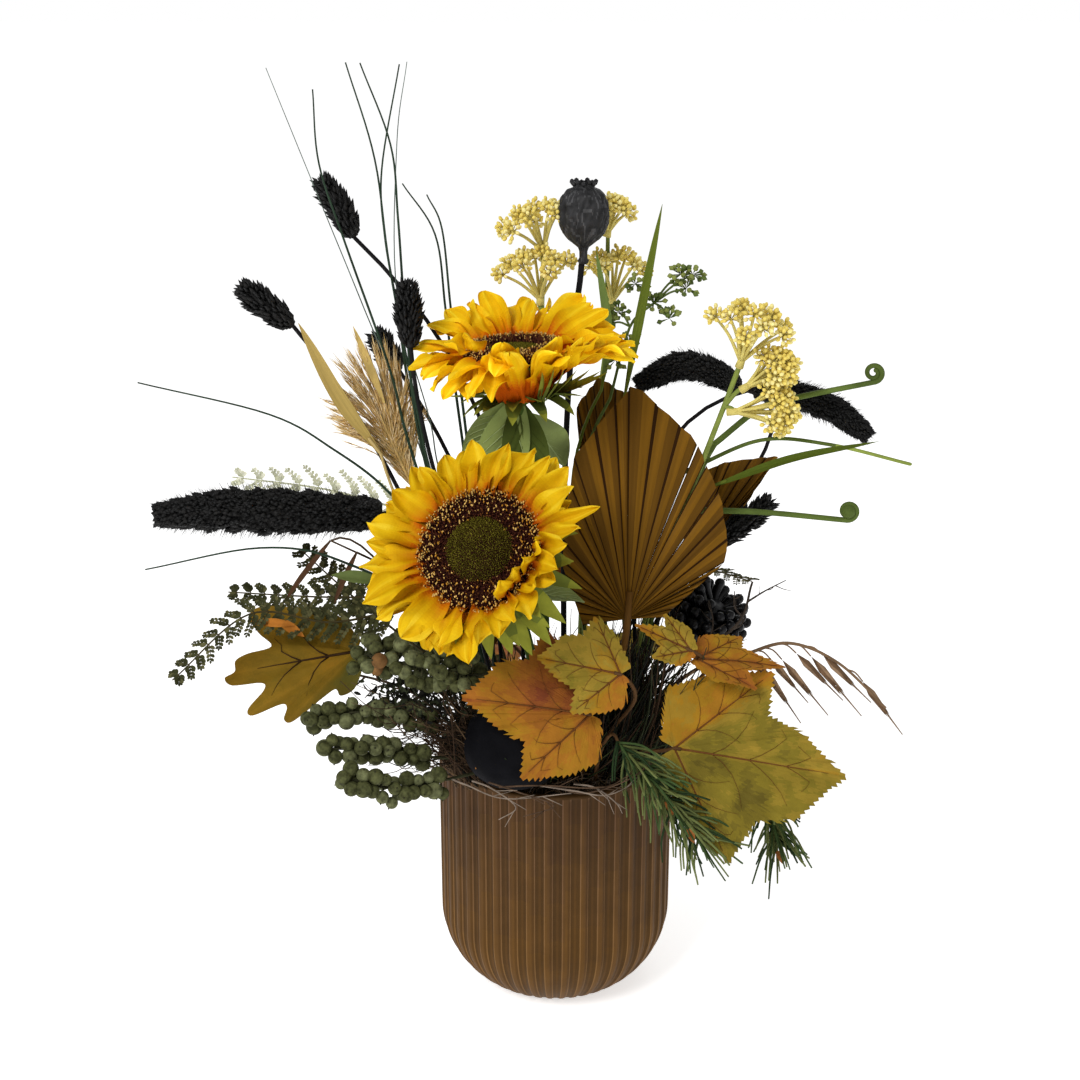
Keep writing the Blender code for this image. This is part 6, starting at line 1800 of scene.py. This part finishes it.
    lobed_leaf("lobed_leaf_pair", (((80, -54, 246), (48, -60, 266), (0.1, -0.7, 0.7), 0.1),
                                   ((84, -52, 240), (140, -44, 236), (0.1, -0.4, 0.9), 0.1)),
               [small_tones, pair_tones], NARROW_OUTLINE, 1.1 * MM)
    lobed_leaf("lobed_leaf_back_left", (((-30, 88, 194), (-92, 122, 186), (-0.2, 0.75, 0.6), 0.12),),
               [front_tones])
    lobed_leaf("lobed_leaf_back_right", (((44, 88, 196), (106, 118, 180), (0.2, 0.75, 0.6), 0.12),),
               [right_tones])
    lobed_leaf("lobed_leaf_back", (((6, 86, 236), (2, 112, 306), (0, 0.9, 0.3), 0.1),), [back_tones])
    lobed_leaf("oak_leaf", (((-122, -30, 236), (-203, -42, 226), (0.07, -0.77, 0.63), 0.1),), [oak_tones],
               OAK_OUTLINE, 0.0)
    plain_leaves()
    berry_spray("berries_upper", ((-46, -78, 240), (-84, -72, 244), (-118, -62, 248)), 48, tawny=(36, 38),
                spread=2.6)
    berry_spray("berries_middle", ((-72, -52, 200), (-110, -62, 210), (-148, -72, 210)), 34, spread=1.25)
    berry_spray("berries_lower", ((-76, -66, 182), (-106, -80, 193), (-136, -92, 200)), 24, spread=1.1)
    berry_spray("berries_rim", ((-66, -84, 176), (-94, -100, 178), (-123, -110, 190)), 30, spread=1.9)
    berry_spray("berries_back", ((-40, 74, 182), (-78, 96, 190), (-112, 108, 190)), 24)
    gourd()
    pine_sprig("pine_front", ((36, -78, 198), (58, -98, 178), (88, -108, 144)), 150, 33,
               buds=((64, -104, 172), (76, -112, 158)))
    pine_sprig("pine_right", ((128, -36, 150), (136, -44, 126), (139, -48, 110)), 78, 32,
               buds=((138, -54, 112),))
    pine_sprig("pine_back", ((14, 84, 186), (16, 106, 162), (16, 120, 132)), 120, 36)
    oats()
    twiggy("twigs_right", ((72, -10, 216), (112, -8, 244), (122, -4, 272)), 12, 30, (0.045, 0.034, 0.026))
    twiggy("twigs_left", ((-56, -30, 190), (-96, -34, 214), (-128, -30, 222)), 12, 24, (0.085, 0.055, 0.035))


# ---------------------------------------------------------------- studio


SOFT_LIGHT = 0.46                   # strength of the white surroundings on everything but the camera
FLOOR_HALF = 60.0
FLOOR_DROP = 0.0005                 # keeps the floor off the pot's foot
FLOOR_GLOW = 0.58                   # keeps the floor as white as the surroundings
LAMPS = (("key", (-0.9, -1.3, 1.5), 0.7, 21), ("fill", (1.3, -1.0, 0.9), 1.2, 2),
         ("back", (0.4, 1.4, 1.3), 1.2, 5))       # name, place, size, power
LAMP_AIM = Vector((0, 0, 0.28))


def studio():
    """A plain pale floor, soft light all round and a large soft key light from the upper left."""
    world = bpy.data.worlds.new("studio")
    bpy.context.scene.world = world
    world.use_nodes = True
    nodes, links = world.node_tree.nodes, world.node_tree.links
    nodes["Background"].inputs["Color"].default_value = (1, 1, 1, 1)
    seen = nodes.new("ShaderNodeLightPath")
    level = nodes.new("ShaderNodeMapRange")
    level.inputs["To Min"].default_value = SOFT_LIGHT
    level.inputs["To Max"].default_value = 1.0
    links.new(seen.outputs["Is Camera Ray"], level.inputs["Value"])
    links.new(level.outputs["Result"], nodes["Background"].inputs["Strength"])
    bpy.context.scene.view_settings.view_transform = "Standard"
    floor_mesh = bpy.data.meshes.new("floor")
    corners = [(x * FLOOR_HALF, y * FLOOR_HALF, 0) for x, y in ((-1, -1), (1, -1), (1, 1), (-1, 1))]
    floor_mesh.from_pydata(corners, [], [(0, 1, 2, 3)])
    floor = bpy.data.objects.new("floor", floor_mesh)
    floor.location.z = -FLOOR_DROP
    white = finish("floor_white", (0.98, 0.98, 0.98), 0.9, 0.0, 2, bump=0, specular=0.0)
    shader = white.node_tree.nodes["Principled BSDF"]
    shader.inputs["Emission Color"].default_value = (1, 1, 1, 1)
    shader.inputs["Emission Strength"].default_value = FLOOR_GLOW
    floor_mesh.materials.append(white)
    bpy.context.scene.collection.objects.link(floor)
    for name, spot, size, power in LAMPS:
        lamp = bpy.data.lights.new(name, "AREA")
        lamp.size = size
        lamp.energy = power
        thing = bpy.data.objects.new(name, lamp)
        thing.location = spot
        thing.rotation_euler = (LAMP_AIM - Vector(spot)).to_track_quat("-Z", "Y").to_euler()
        bpy.context.scene.collection.objects.link(thing)
    camera = bpy.data.objects.new("camera", bpy.data.cameras.new("camera"))
    camera.data.lens = 55
    camera.data.sensor_width = 36
    camera.location = (-0.010, -0.97074, 0.61341)
    camera.rotation_euler = (math.radians(72), 0, 0)
    bpy.context.scene.collection.objects.link(camera)
    bpy.context.scene.camera = camera


pot()
filling()
brush()
rim_twigs()
sunflower_front()
sunflower_top()
arrangement()
studio()
